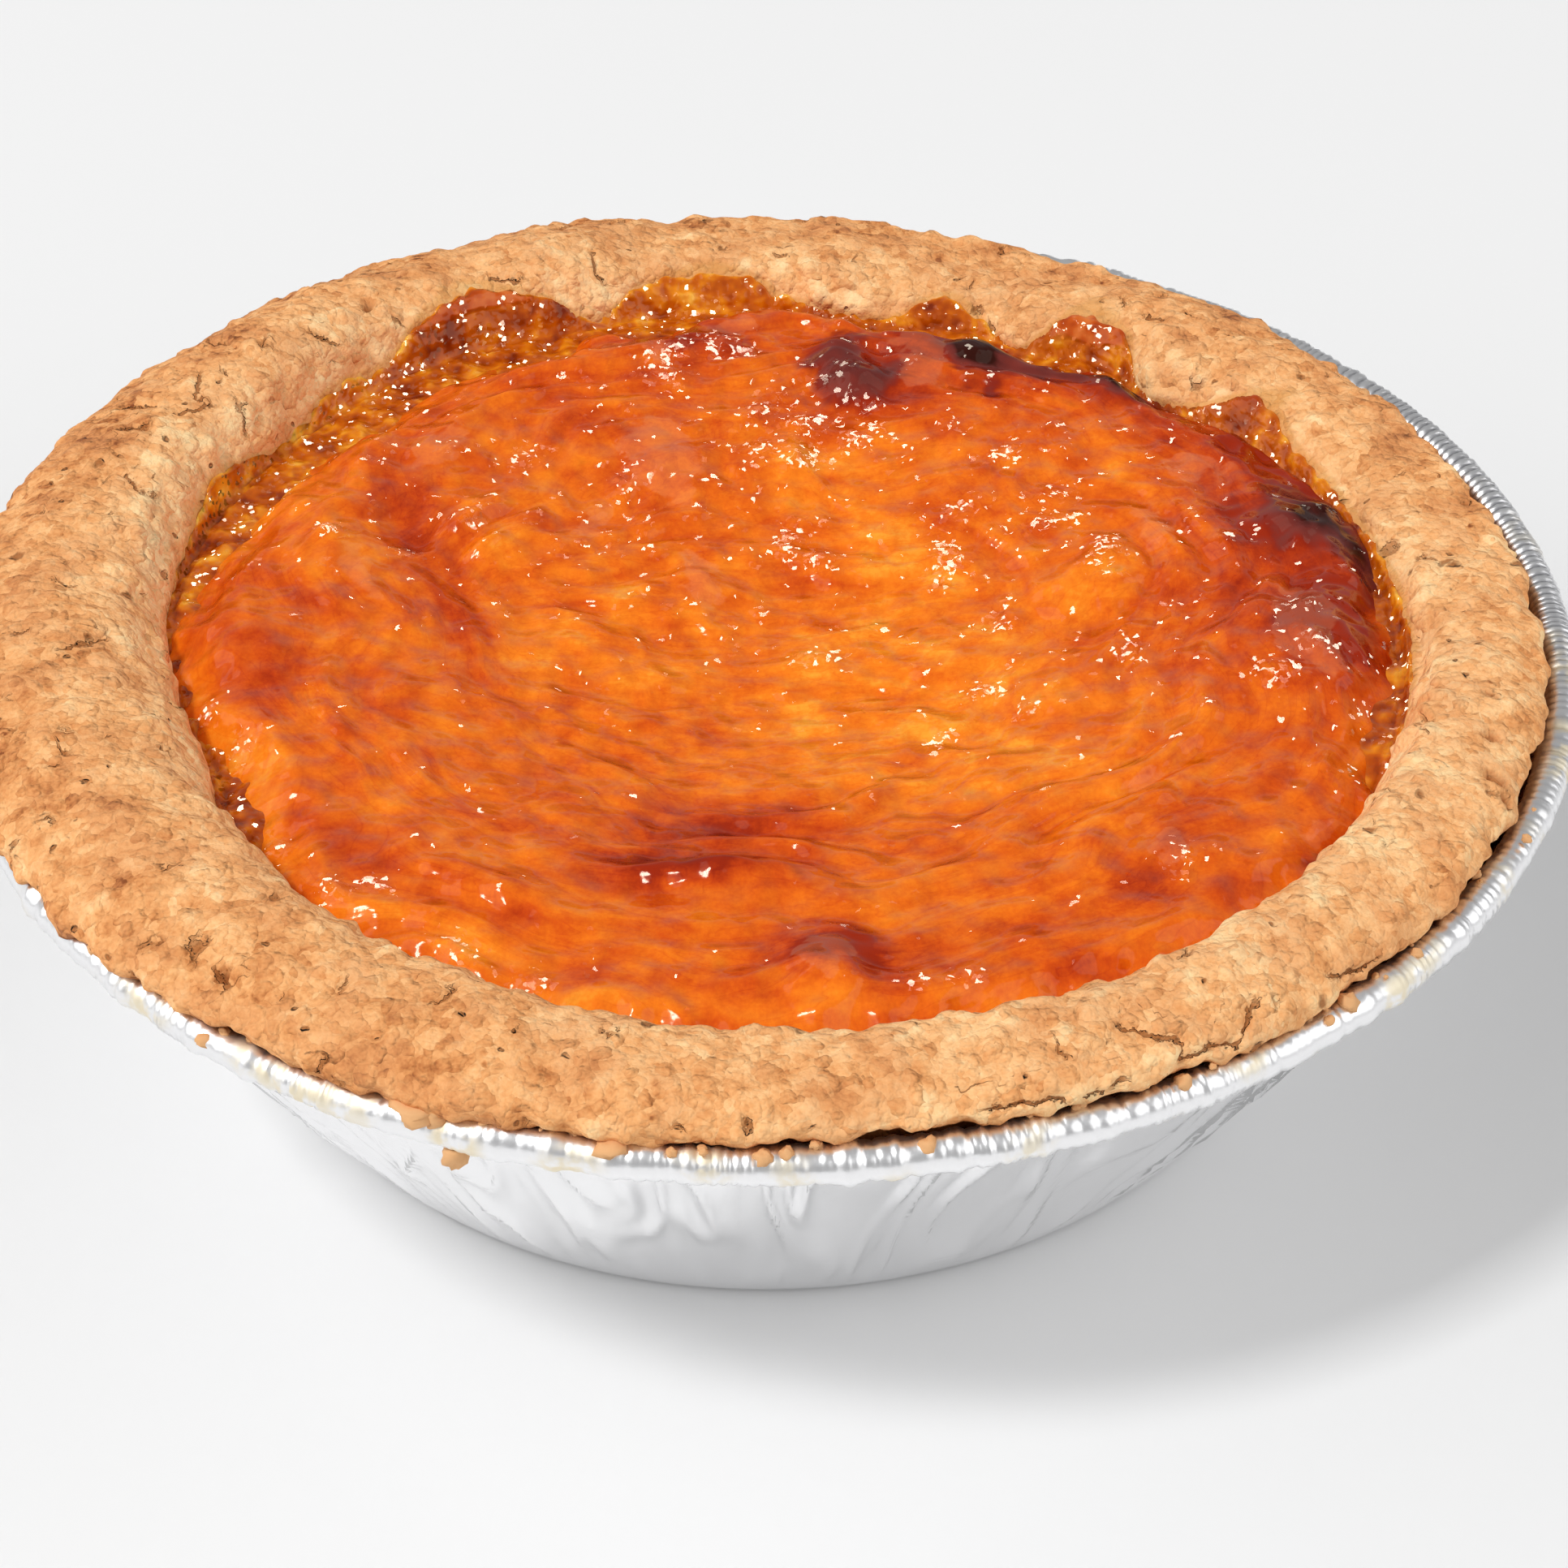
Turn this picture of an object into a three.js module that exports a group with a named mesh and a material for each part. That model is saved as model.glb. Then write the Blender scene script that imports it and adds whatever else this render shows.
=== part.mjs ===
import * as THREE from "three";

// A small sweet potato pie, baked and served in its own foil tin: the tin, the shortcrust shell
// with its puffed rim, and the filling with its raised ring and sunken middle.
// Millimetres, +Z up. The origin is the middle of the tin's underside, on the table.
// Azimuths are in degrees, counter-clockwise from +X as seen from above.

// Driving dimensions of the tin
const RIM_RADIUS = 42.5; // over the rolled edge
const BASE_RADIUS = 28; // where the wall would meet the table
const CURL_HEIGHT = 21.5; // middle of the rolled edge
const CURL_RADIUS = 0.95; // of the rolled edge's own section
const FOIL = 0.4; // wall, measured level
const CORNER = 1.2; // rounding between base and wall
const PLEATS = 48; // shallow flutes pressed round the wall
const PLEAT_DEPTH = 0.15;

// Driving dimensions of the crust
const GAP = 0.3; // kept between pieces that touch
const CRUST_BASE = 3; // thickness under the filling
const CRUST_WALL = 3.2; // thickness at the foot of the wall
const CREST_RADIUS = 36.8;
const CREST_HEIGHT = 25;
const CREST_LEAN = 0.7; // the left of the rim rose higher than the right by twice this
const LIP_RADIUS = 41.2; // outer edge, on average
const LIP_HEIGHT = 23.7;
const LIP_SHIFT = 1.4; // the pastry sits this far off centre in its tin
const LIP_SHORT_SIDE = 28; // azimuth where the lip stops inside the rolled edge
const MOUTH_RADIUS = 33.8; // where the rim's inner slope meets the filling
const MOUTH_HEIGHT = 22.3;

// Driving dimensions of the filling
const MIDDLE_HEIGHT = 19.6; // sunken middle
const RING_RADIUS = 28.2; // puffed ring
const RING_HEIGHT = 23;
const MOAT_RADIUS = 32.2; // low seam of syrup beside the crust
const MOAT_HEIGHT = 21.4;

const SEGMENTS = 72; // round the pastry and the filling

// Swellings of the pastry rim: azimuth, half width in degrees, rise
const RIM_SWELLINGS = [
  { azimuth: 12, spread: 14, rise: -0.6 },
  { azimuth: 68, spread: 14, rise: -1.1 },
  { azimuth: 96, spread: 7, rise: -0.7 },
  { azimuth: 109, spread: 5, rise: 0.5 },
  { azimuth: 141, spread: 12, rise: 0.75 },
  { azimuth: 320, spread: 20, rise: 0.6 },
];

// Blisters and folds of the filling's skin: place as radius and azimuth, size, rise
const SKIN_SWELLINGS = [
  { radius: 28.4, azimuth: -6, spread: 3.4, rise: 0.8 }, // smooth dome on the right
  { radius: 25.5, azimuth: 79, spread: 2.6, rise: 0.8 }, // pair of dark blisters at the back
  { radius: 20.4, azimuth: 263, spread: 4.2, rise: 0.9 }, // browned fold at the front
  { radius: 28.6, azimuth: 276, spread: 2.8, rise: 0.6 },
  { radius: 22, azimuth: 172, spread: 4.5, rise: 0.9 }, // bulge on the left
];

const degrees = THREE.MathUtils.degToRad;
const smoothstep = THREE.MathUtils.smoothstep;

// Outer radius of the tin's conical wall at a height.
function wallRadius(height) {
  const neck = RIM_RADIUS - 2 * CURL_RADIUS + FOIL;
  return THREE.MathUtils.lerp(BASE_RADIUS, neck, height / CURL_HEIGHT);
}

// Outer radius of the pastry inside the tin at a height.
function pastryRadius(height) {
  return wallRadius(height) - FOIL - PLEAT_DEPTH - GAP;
}

const pastryFloor = FOIL + GAP;
const fillingFloor = pastryFloor + CRUST_BASE;

// Radius of the pastry shell's inner face at a height.
function hollowRadius(height) {
  const foot = pastryRadius(fillingFloor) - CRUST_WALL;
  const climbed = (height - fillingFloor) / (MOUTH_HEIGHT - fillingFloor);
  return THREE.MathUtils.lerp(foot, MOUTH_RADIUS, climbed);
}

// A body turned about +Z from a profile of points (radius, height) listed from the bottom up.
function turned(profile, segments) {
  return new THREE.LatheGeometry(profile, segments).rotateX(Math.PI / 2);
}

// Moves every vertex: `shape` takes and returns a radius and a height, and is told the azimuth.
function sculpt(geometry, shape) {
  const vertices = geometry.attributes.position;
  for (let i = 0; i < vertices.count; i++) {
    const x = vertices.getX(i);
    const y = vertices.getY(i);
    const azimuth = Math.atan2(y, x);
    const [radius, height] = shape(Math.hypot(x, y), vertices.getZ(i), azimuth);
    vertices.setXYZ(i, radius * Math.cos(azimuth), radius * Math.sin(azimuth), height);
  }
  return geometry;
}

// Points (radius, height) up or down a face whose radius depends on height.
function face(radiusAt, heights) {
  return heights.map((height) => new THREE.Vector2(radiusAt(height), height));
}

// 0 at both ends of the wall and 1 between, so that the flutes run out smoothly.
function wallShare(height) {
  return smoothstep(height, CORNER, 5) * (1 - smoothstep(height, 16, CURL_HEIGHT - CURL_RADIUS));
}

function makeTin() {
  const heights = [2.2, 6, 14, 18.6];
  const curlMiddle = new THREE.Vector2(RIM_RADIUS - CURL_RADIUS, CURL_HEIGHT);
  const curl = new THREE.Path();
  curl.absarc(curlMiddle.x, curlMiddle.y, CURL_RADIUS, degrees(-140), degrees(180), false);
  const profile = [
    new THREE.Vector2(0, 0),
    new THREE.Vector2(BASE_RADIUS - CORNER, 0),
    new THREE.Vector2(BASE_RADIUS - CORNER / 4, CORNER / 3),
    ...face(wallRadius, heights),
    ...curl.getPoints(4),
    ...face((height) => wallRadius(height) - FOIL, heights.toReversed()),
    new THREE.Vector2(BASE_RADIUS - CORNER - FOIL / 2, FOIL),
    new THREE.Vector2(0, FOIL),
  ];
  return sculpt(turned(profile, 2 * PLEATS), (radius, height, azimuth) => {
    const onWall = radius > BASE_RADIUS ? wallShare(height) : 0;
    return [radius + PLEAT_DEPTH * Math.cos(PLEATS * azimuth) * onWall, height];
  });
}

// Smooth hump of height 1 at 0 that has died away a little past `spread`.
function hump(distance, spread) {
  return Math.exp(-((distance / spread) ** 2));
}

// Shortest way round from one azimuth to another, in degrees.
function turnBetween(azimuth, other) {
  return THREE.MathUtils.euclideanModulo(azimuth - other + 180, 360) - 180;
}

function makeCrust() {
  const lipUnderside = CURL_HEIGHT + CURL_RADIUS + 1.7 * GAP;
  const crest = [
    [LIP_RADIUS - 0.6, lipUnderside],
    [LIP_RADIUS, LIP_HEIGHT],
    [LIP_RADIUS - 0.8, LIP_HEIGHT + 1.3],
    [CREST_RADIUS + 2.2, CREST_HEIGHT - 0.4],
    [CREST_RADIUS, CREST_HEIGHT],
    [CREST_RADIUS - 1.5, CREST_HEIGHT - 0.6],
    [MOUTH_RADIUS + 0.6, CREST_HEIGHT - 1.9],
  ];
  const profile = [
    new THREE.Vector2(0, pastryFloor),
    new THREE.Vector2(pastryRadius(pastryFloor) - CORNER, pastryFloor),
    ...face(pastryRadius, [2.6, 11, 20]),
    new THREE.Vector2(RIM_RADIUS - 2 * CURL_RADIUS - 2 * GAP, lipUnderside - GAP),
    ...crest.map(([radius, height]) => new THREE.Vector2(radius, height)),
    ...face(hollowRadius, [MOUTH_HEIGHT, 13, fillingFloor]),
    new THREE.Vector2(0, fillingFloor),
  ];
  return sculpt(turned(profile, SEGMENTS), (radius, height, azimuth) => {
    const onRim = smoothstep(height, MOUTH_HEIGHT, CREST_HEIGHT);
    const onLip = smoothstep(radius, CREST_RADIUS, LIP_RADIUS) * (height < lipUnderside ? 0 : 1);
    const lift = RIM_SWELLINGS.reduce(
      (sum, swelling) => {
        const away = turnBetween(THREE.MathUtils.radToDeg(azimuth), swelling.azimuth);
        return sum + swelling.rise * hump(away, swelling.spread);
      },
      -CREST_LEAN * Math.cos(azimuth),
    );
    const shift = -LIP_SHIFT * Math.cos(azimuth - degrees(LIP_SHORT_SIDE));
    return [radius + shift * onLip, height + lift * onRim];
  });
}

function makeFilling() {
  const edgeHeight = MOUTH_HEIGHT - 0.5;
  const side = (height) => hollowRadius(height) - GAP;
  const skin = new THREE.SplineCurve([
    new THREE.Vector2(side(edgeHeight), edgeHeight),
    new THREE.Vector2(MOAT_RADIUS, MOAT_HEIGHT),
    new THREE.Vector2(RING_RADIUS, RING_HEIGHT),
    new THREE.Vector2(RING_RADIUS * 0.7, MIDDLE_HEIGHT + 0.45 * (RING_HEIGHT - MIDDLE_HEIGHT)),
    new THREE.Vector2(RING_RADIUS * 0.35, MIDDLE_HEIGHT + 0.1),
    new THREE.Vector2(0, MIDDLE_HEIGHT),
  ]);
  const floor = fillingFloor + GAP;
  const profile = [
    new THREE.Vector2(0, floor),
    ...face(side, [floor, 13]),
    ...skin.getPoints(12),
  ];
  return sculpt(turned(profile, SEGMENTS), (radius, height, azimuth) => {
    const onSkin = height > MOAT_HEIGHT - 3 && radius < MOAT_RADIUS ? 1 : 0;
    const rise = SKIN_SWELLINGS.reduce((sum, swelling) => {
      const middle = new THREE.Vector2(swelling.radius, 0);
      middle.rotateAround(new THREE.Vector2(), degrees(swelling.azimuth));
      const away = Math.hypot(
        radius * Math.cos(azimuth) - middle.x,
        radius * Math.sin(azimuth) - middle.y,
      );
      return sum + swelling.rise * hump(away, swelling.spread);
    }, 0);
    return [radius, height + rise * onSkin];
  });
}

// One named piece with its own finish.
function piece(name, geometry, finish) {
  const mesh = new THREE.Mesh(geometry, new THREE.MeshStandardMaterial(finish));
  mesh.name = name;
  return mesh;
}

const pie = new THREE.Group();
pie.add(
  piece("foil_tin", makeTin(), { color: 0xcfd0d0, roughness: 0.35, metalness: 1 }),
  piece("crust", makeCrust(), { color: 0xe6a974, roughness: 0.85, metalness: 0 }),
  piece("filling", makeFilling(), { color: 0xe8762a, roughness: 0.2, metalness: 0 }),
);

export default pie;
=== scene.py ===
import itertools
import math

import bpy
import numpy as np
from mathutils import Matrix, Vector


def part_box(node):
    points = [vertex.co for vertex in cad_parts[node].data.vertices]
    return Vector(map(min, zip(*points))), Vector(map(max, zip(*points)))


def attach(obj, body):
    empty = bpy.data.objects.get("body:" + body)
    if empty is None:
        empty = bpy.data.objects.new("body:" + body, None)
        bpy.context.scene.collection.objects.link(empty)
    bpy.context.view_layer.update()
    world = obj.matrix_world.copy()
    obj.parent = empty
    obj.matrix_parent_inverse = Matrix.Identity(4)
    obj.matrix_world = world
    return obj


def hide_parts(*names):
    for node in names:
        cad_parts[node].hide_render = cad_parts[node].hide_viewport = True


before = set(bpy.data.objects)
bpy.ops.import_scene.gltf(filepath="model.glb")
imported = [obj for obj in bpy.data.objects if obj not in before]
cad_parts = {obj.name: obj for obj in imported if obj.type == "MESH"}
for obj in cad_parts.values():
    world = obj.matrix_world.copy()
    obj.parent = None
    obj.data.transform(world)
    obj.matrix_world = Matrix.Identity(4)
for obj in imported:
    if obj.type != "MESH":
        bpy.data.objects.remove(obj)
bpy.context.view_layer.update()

# A small sweet potato pie in its foil tin: a fluted foil tin with a crimped rolled edge, a sandy
# shortcrust rim with cracks and pits, and a glossy, wrinkled filling with caught blisters and a
# moat of amber syrup. Shapes are worked out in millimetres and turned into metres as each mesh is
# made. Azimuths are in degrees, counter-clockwise from +X as seen from above.

# ------------------------------------------------------------------------------------- sizes
MM = 0.001

_, tin_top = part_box("foil_tin")

RIM_RADIUS = tin_top[0] / MM  # over the rolled edge of the tin
CURL_RADIUS = 0.95  # of the rolled edge's own section
CURL_HEIGHT = tin_top[2] / MM - CURL_RADIUS
CURL_MIDDLE = RIM_RADIUS - CURL_RADIUS
BASE_RADIUS = 28.0  # of the tin
FOIL = 0.13  # thickness of the tin
CORNER = 1.0  # rounding between its base and its wall
WALL_FOOT = 1.3  # height where its straight wall starts

CREST_RADIUS = 36.9  # top of the pastry rim
CREST_HEIGHT = 25.4
LIP_RADIUS = 41.6  # outer edge of the pastry rim, on average
LIP_HEIGHT = 23.7

MIDDLE_HEIGHT = 19.7  # sunken middle of the filling
RING_RADIUS = 28.2  # puffed ring of the filling
RING_HEIGHT = 23.0
MOAT_HEIGHT = 21.5  # low seam beside the crust
SYRUP_LEVEL = 21.75  # of the syrup in it
FILLING_FLOOR = 4.2  # underside of the filling
PASTRY_TOP = 3.7  # of the pastry under the filling
PASTRY_FLOOR = 0.6  # underside of the pastry


# ------------------------------------------------------------------------ noise and blending
def smooth(low, high, value):
    """0 below low, 1 above high and a smooth step between."""
    share = np.clip((value - low) / (high - low), 0.0, 1.0)
    return share * share * (3.0 - 2.0 * share)


def mix(low, high, share):
    return low + (high - low) * share


def scramble(cell, seed):
    """A random-looking whole number for each lattice cell (the last axis holds x, y, z)."""
    keys = np.array([73856093, 19349663, 83492791], dtype=np.int64)
    mixed = (cell * keys).sum(-1) + seed * 2654435761
    mixed = mixed.astype(np.uint32)
    mixed ^= mixed >> np.uint32(15)
    mixed *= np.uint32(2246822519)
    mixed ^= mixed >> np.uint32(13)
    mixed *= np.uint32(3266489917)
    return mixed ^ (mixed >> np.uint32(16))


EDGE_DIRECTIONS = np.array(
    [step for step in itertools.product((-1, 0, 1), repeat=3) if np.abs(step).sum() == 2],
    dtype=float,
)


def noise(points, seed=0):
    """Smooth noise of about -1 to 1, with swellings about one unit across; each seed gives its own."""
    cell = np.floor(points).astype(np.int64)
    inside = points - cell
    fade = inside**3 * (inside * (inside * 6.0 - 15.0) + 10.0)
    total = np.zeros(points.shape[:-1])
    for corner in itertools.product((0, 1), repeat=3):
        slope = EDGE_DIRECTIONS[scramble(cell + np.array(corner), seed) % 12]
        weight = np.where(np.array(corner) == 1, fade, 1.0 - fade).prod(-1)
        total += weight * (slope * (inside - corner)).sum(-1)
    return total


def layered(points, layers, seed=0, keep=0.5):
    """Noise with finer and fainter layers on top of it."""
    total, strength = 0.0, 1.0
    for layer in range(layers):
        total = total + strength * noise(points * 2.03**layer, seed + 17 * layer)
        strength *= keep
    return total


def puffs(points, seed):
    """Rounded swellings with soft creases between them, 0 in the creases and about 1 on top."""
    return np.sqrt(noise(points, seed) ** 2 + 0.03) * 2.4 - 0.35


def grains(points, seed=0):
    """Distance to the nearest of points scattered one to a cell, and that point's number, 0 to 1."""
    cell = np.floor(points).astype(np.int64)
    nearest = np.full(points.shape[:-1], 9.0)
    number = np.zeros(points.shape[:-1])
    for step in itertools.product((-1, 0, 1), repeat=3):
        there = cell + np.array(step)
        jitter = np.stack([scramble(there, seed + axis) % 1024 for axis in range(3)], -1) / 1024.0
        away = np.linalg.norm(there + jitter - points, axis=-1)
        closer = away < nearest
        nearest = np.where(closer, away, nearest)
        number = np.where(closer, (scramble(there, seed + 3) % 1024) / 1024.0, number)
    return nearest, number


def turn_between(azimuth, other):
    """Shortest way round from one azimuth to another, in degrees."""
    return (azimuth - other + 180.0) % 360.0 - 180.0


def hump(distance, spread):
    """1 at no distance, dying away a little past `spread`."""
    return np.exp(-((distance / spread) ** 2))


def facing(azimuth, middle, spread):
    """1 on the side of the pie that faces `middle`, dying away past `spread` degrees either way."""
    return hump(turn_between(azimuth, middle), spread)


def round_the_rim(azimuth, stations):
    """Smooth curve round the pie through stations given as (azimuth, value)."""
    places, values = zip(*stations)
    kernel = hump(np.arange(-8, 9), 3.5)
    fine = np.interp(np.arange(-8, 728) * 0.5, places, values, period=360)
    fine = np.convolve(fine, kernel / kernel.sum(), "valid")
    return np.interp(azimuth % 360.0, np.arange(720) * 0.5, fine, period=360)


def splined(controls, stations):
    """Smooth sections through control points [point, azimuth, (radius, height)]; stations count them."""
    count = len(controls)
    segment = np.clip(np.floor(stations).astype(int), 0, count - 2)
    t = stations - segment
    shares = (
        -0.5 * t + t**2 - 0.5 * t**3,
        1.0 - 2.5 * t**2 + 1.5 * t**3,
        0.5 * t + 2.0 * t**2 - 1.5 * t**3,
        -0.5 * t**2 + 0.5 * t**3,
    )
    weights = np.zeros((len(stations), count))
    for step, share in enumerate(shares):
        at = np.clip(segment + step - 1, 0, count - 1)
        np.add.at(weights, (np.arange(len(stations)), at), share)
    return np.einsum("rk,kcd->rcd", weights, controls)


# ------------------------------------------------------------------------------ mesh makers
def make_piece(name, points, faces, values=None):
    """An object from points in millimetres, with smooth shading and named values at its points."""
    mesh = bpy.data.meshes.new(name)
    mesh.from_pydata((np.asarray(points) * MM).tolist(), [], faces)
    mesh.validate()
    mesh.shade_smooth()
    for label, value in (values or {}).items():
        layer = mesh.attributes.new(label, "FLOAT", "POINT")
        layer.data.foreach_set("value", np.asarray(value, dtype=np.float32).ravel())
    piece = bpy.data.objects.new(name, mesh)
    bpy.context.scene.collection.objects.link(piece)
    return piece


def grid_faces(rows, columns, rows_meet=False, columns_meet=True, first=0):
    """Quads over a grid of points numbered row by row from `first`."""
    row = np.arange(rows if rows_meet else rows - 1)[:, None]
    column = np.arange(columns if columns_meet else columns - 1)[None, :]
    next_row = (row + 1) % rows
    next_column = (column + 1) % columns
    corners = [
        row * columns + column,
        row * columns + next_column,
        next_row * columns + next_column,
        next_row * columns + column,
    ]
    return (np.stack(np.broadcast_arrays(*corners), -1).reshape(-1, 4) + first).tolist()


def cap_faces(start, count, pole, upward):
    """Triangles from a ring of `count` points to the point in its middle."""
    ring = [start + i for i in range(count)]
    pairs = zip(ring, ring[1:] + ring[:1])
    return [(a, b, pole) if upward else (b, a, pole) for a, b in pairs]


def closed_shell(points, first_height, last_height):
    """Points and faces of a turned grid whose first and last rows are closed in the middle."""
    rows, columns = points.shape[:2]
    first_pole = rows * columns
    faces = grid_faces(rows, columns)
    faces += cap_faces(0, columns, first_pole, False)
    faces += cap_faces(first_pole - columns, columns, first_pole + 1, True)
    return np.vstack([points.reshape(-1, 3), [[0, 0, first_height], [0, 0, last_height]]]), faces


def surface_normals(points):
    """Outward normals of a grid of points that closes round its columns."""
    along = np.roll(points, -1, axis=1) - np.roll(points, 1, axis=1)
    across = np.gradient(points, axis=0)
    normals = np.cross(along, across)
    return normals / np.linalg.norm(normals, axis=-1, keepdims=True)


def turned_points(radius, height, azimuth):
    """Points from radius, height and azimuth in degrees."""
    angle = np.radians(azimuth)
    return np.stack(np.broadcast_arrays(radius * np.cos(angle), radius * np.sin(angle), height), -1)


# ---------------------------------------------------------------------- shader expressions
class Wire:
    """A socket of a material that takes part in arithmetic: every operator adds a Math node."""

    def __init__(self, finish, socket):
        self.finish = finish
        self.socket = socket

    def math(self, operation, *others):
        values = dict(enumerate([self, *others]))
        return self.finish.node("ShaderNodeMath", {"operation": operation}, values)

    def __add__(self, other):
        return self.math("ADD", other)

    def __sub__(self, other):
        return self.math("SUBTRACT", other)

    def __rsub__(self, other):
        return self.finish.node("ShaderNodeMath", {"operation": "SUBTRACT"}, {0: other, 1: self})

    def __mul__(self, other):
        return self.math("MULTIPLY", other)

    __radd__ = __add__
    __rmul__ = __mul__

    def limited(self):
        return self.finish.node("ShaderNodeClamp", {}, {"Value": self})

    def near(self, middle, reach):
        """1 at the middle, falling to 0 at `reach` from it."""
        away = (self - middle).math("ABSOLUTE")
        return (1.0 - away * (1.0 / reach)).limited()

    def other(self, output):
        """Another output of the node that this wire comes from."""
        return Wire(self.finish, self.socket.node.outputs[output])

    def step(self, low, high):
        """0 below low, 1 above high and a smooth step between."""
        ranged = {"Value": self, "From Min": low, "From Max": high}
        return self.finish.node("ShaderNodeMapRange", {"interpolation_type": "SMOOTHSTEP"}, ranged)


class Finish:
    """A material being made: node() adds any node from its type, settings and socket values."""

    def __init__(self, name):
        self.material = bpy.data.materials.new(name)
        self.material.use_nodes = True
        self.tree = self.material.node_tree
        self.tree.nodes.clear()

    def node(self, kind, settings=None, values=None, output=0):
        made = self.tree.nodes.new(kind)
        for name, setting in (settings or {}).items():
            if name == "stops":
                self.set_stops(made.color_ramp, setting)
            else:
                setattr(made, name, setting)
        for name, value in (values or {}).items():
            if isinstance(value, Wire):
                self.tree.links.new(value.socket, made.inputs[name])
            else:
                made.inputs[name].default_value = value
        return Wire(self, made.outputs[output]) if made.outputs else None

    @staticmethod
    def set_stops(ramp, stops):
        while len(ramp.elements) < len(stops):
            ramp.elements.new(1.0)
        for element, (place, colour) in zip(ramp.elements, stops):
            element.position = place
            element.color = (*colour, 1.0)

    def places(self):
        """The piece's own coordinates, in millimetres."""
        own = self.node("ShaderNodeTexCoord", output="Object")
        return self.node("ShaderNodeVectorMath", {"operation": "SCALE"}, {0: own, "Scale": 1 / MM})

    def value(self, label):
        """A value stored at the mesh's points."""
        return self.node("ShaderNodeAttribute", {"attribute_name": label}, output="Fac")

    def vector(self, label):
        return self.node("ShaderNodeAttribute", {"attribute_name": label}, output="Vector")

    def stretched(self, places, across, along):
        """Coordinates for grain that runs along X: `along` millimetres long and `across` wide."""
        scale = (1.0 / along, 1.0 / across, 1.0 / across)
        return self.node("ShaderNodeVectorMath", {"operation": "MULTIPLY"}, {0: places, 1: scale})

    def cloud(self, places, size, detail=2.0, roughness=0.5, distortion=0.0, level=False):
        """Noise from 0 to 1, swelling about every `size` millimetres; level: the same at all heights."""
        values = {"Vector": places, "Scale": 1.0 / size, "Detail": detail}
        values |= {"Roughness": roughness, "Distortion": distortion}
        return self.node("ShaderNodeTexNoise", {"noise_dimensions": "2D" if level else "3D"}, values)

    def arithmetic(self, operation, *vectors, output=0):
        """Vector Math on the vectors given."""
        values = dict(enumerate(vectors))
        return self.node("ShaderNodeVectorMath", {"operation": operation}, values, output)

    def glinting(self, places, spacing, spread, share, normal):
        """The normal given, with small flat faces in a share of the places, tipped by GLINT_SLOPE."""
        cells = self.node("ShaderNodeTexVoronoi", {}, {"Vector": places, "Scale": 1.0 / spacing})
        number = cells.other("Color")
        least = (-GLINT_SLOPE[0] - 0.5 * spread, -GLINT_SLOPE[1] - 0.5 * spread, 1.0)
        tipped = self.arithmetic("MULTIPLY_ADD", number, (spread, spread, 0.0), least)
        tipped = self.arithmetic("NORMALIZE", tipped)
        lot = self.arithmetic("DOT_PRODUCT", number, (0.0, 0.0, 1.0), output="Value")
        values = {0: (share - lot).step(0.0, 0.01), 4: normal, 5: tipped}
        return self.node("ShaderNodeMix", {"data_type": "VECTOR"}, values, output=1)

    def dots(self, places, spacing, radius, share):
        """Soft round dots scattered about `spacing` millimetres apart, in a share of the places."""
        distance = self.node("ShaderNodeTexVoronoi", {}, {"Vector": places, "Scale": 1.0 / spacing})
        chosen = distance.other("Color").step(1.0 - share, 1.02 - share)
        return (1.0 - distance.step(0.5 * radius / spacing, 1.3 * radius / spacing)) * chosen

    def strayed(self, places, scale, reach, level=False):
        """Coordinates that wander by up to `reach` millimetres; level: not up or down."""
        settings = {"noise_dimensions": "2D" if level else "3D"}
        wander = self.node("ShaderNodeTexNoise", settings, {"Vector": places, "Scale": scale}, "Color")
        reaches = (reach, reach, 0.0 if level else reach)
        return self.arithmetic("MULTIPLY_ADD", wander, reaches, places)

    def ramp(self, share, stops):
        return self.node("ShaderNodeValToRGB", {"stops": stops}, {"Fac": share})

    def mixed(self, share, colour, other, blend="MIX"):
        settings = {"data_type": "RGBA", "blend_type": blend, "clamp_factor": True}
        return self.node("ShaderNodeMix", settings, {0: share, 6: colour, 7: other}, output=2)

    def bump(self, height, depth, strength=1.0, normal=None):
        """Relief of `depth` millimetres between height 0 and 1."""
        values = {"Height": height, "Distance": depth * MM, "Strength": strength}
        if normal:
            values["Normal"] = normal
        return self.node("ShaderNodeBump", {}, values)

    def surface(self, values):
        return self.node("ShaderNodeBsdfPrincipled", {}, values)

    def done(self, shader):
        self.node("ShaderNodeOutputMaterial", {}, {"Surface": shader})
        return self.material


def colour(red, green, blue):
    return (red, green, blue, 1.0)


# --------------------------------------------------------------------------------- finishes
def foil_finish():
    """Thin rolled foil: bright, slightly brushed, with smears of butter on the rolled edge and painted
    shade in the creases between its ribs.
    """
    finish = Finish("foil")
    places = finish.places()
    haze = finish.cloud(places, 6.0, detail=3.0)
    grease = finish.value("grease")
    smears = (grease * finish.cloud(places, 0.9, detail=2.0).step(0.35, 0.6)).limited()
    # Painted shade: the creases between the crimped ribs are darkened nearly to black
    bright, painted_crease_shade = colour(0.93, 0.93, 0.94), colour(0.20, 0.20, 0.24)
    tint = finish.mixed(finish.value("crease") * 0.75, bright, painted_crease_shade)
    tint = finish.mixed(smears * 0.6, tint, colour(0.86, 0.72, 0.42))
    return finish.done(
        finish.surface(
            {
                "Base Color": tint,
                "Metallic": 1.0,
                "Roughness": haze * 0.12 + smears * 0.25 + finish.value("rolled") * 0.1 + 0.17,
                "Normal": finish.bump(finish.cloud(places, 0.35, detail=3.0), 0.012),
            }
        )
    )


PASTRY_TONES = [
    (0.0, (1.0, 0.70, 0.36)),
    (0.25, (0.98, 0.55, 0.245)),
    (0.5, (0.88, 0.42, 0.158)),
    (0.7, (0.74, 0.305, 0.10)),
    (0.86, (0.54, 0.19, 0.055)),
    (1.0, (0.27, 0.075, 0.02)),
]


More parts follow.
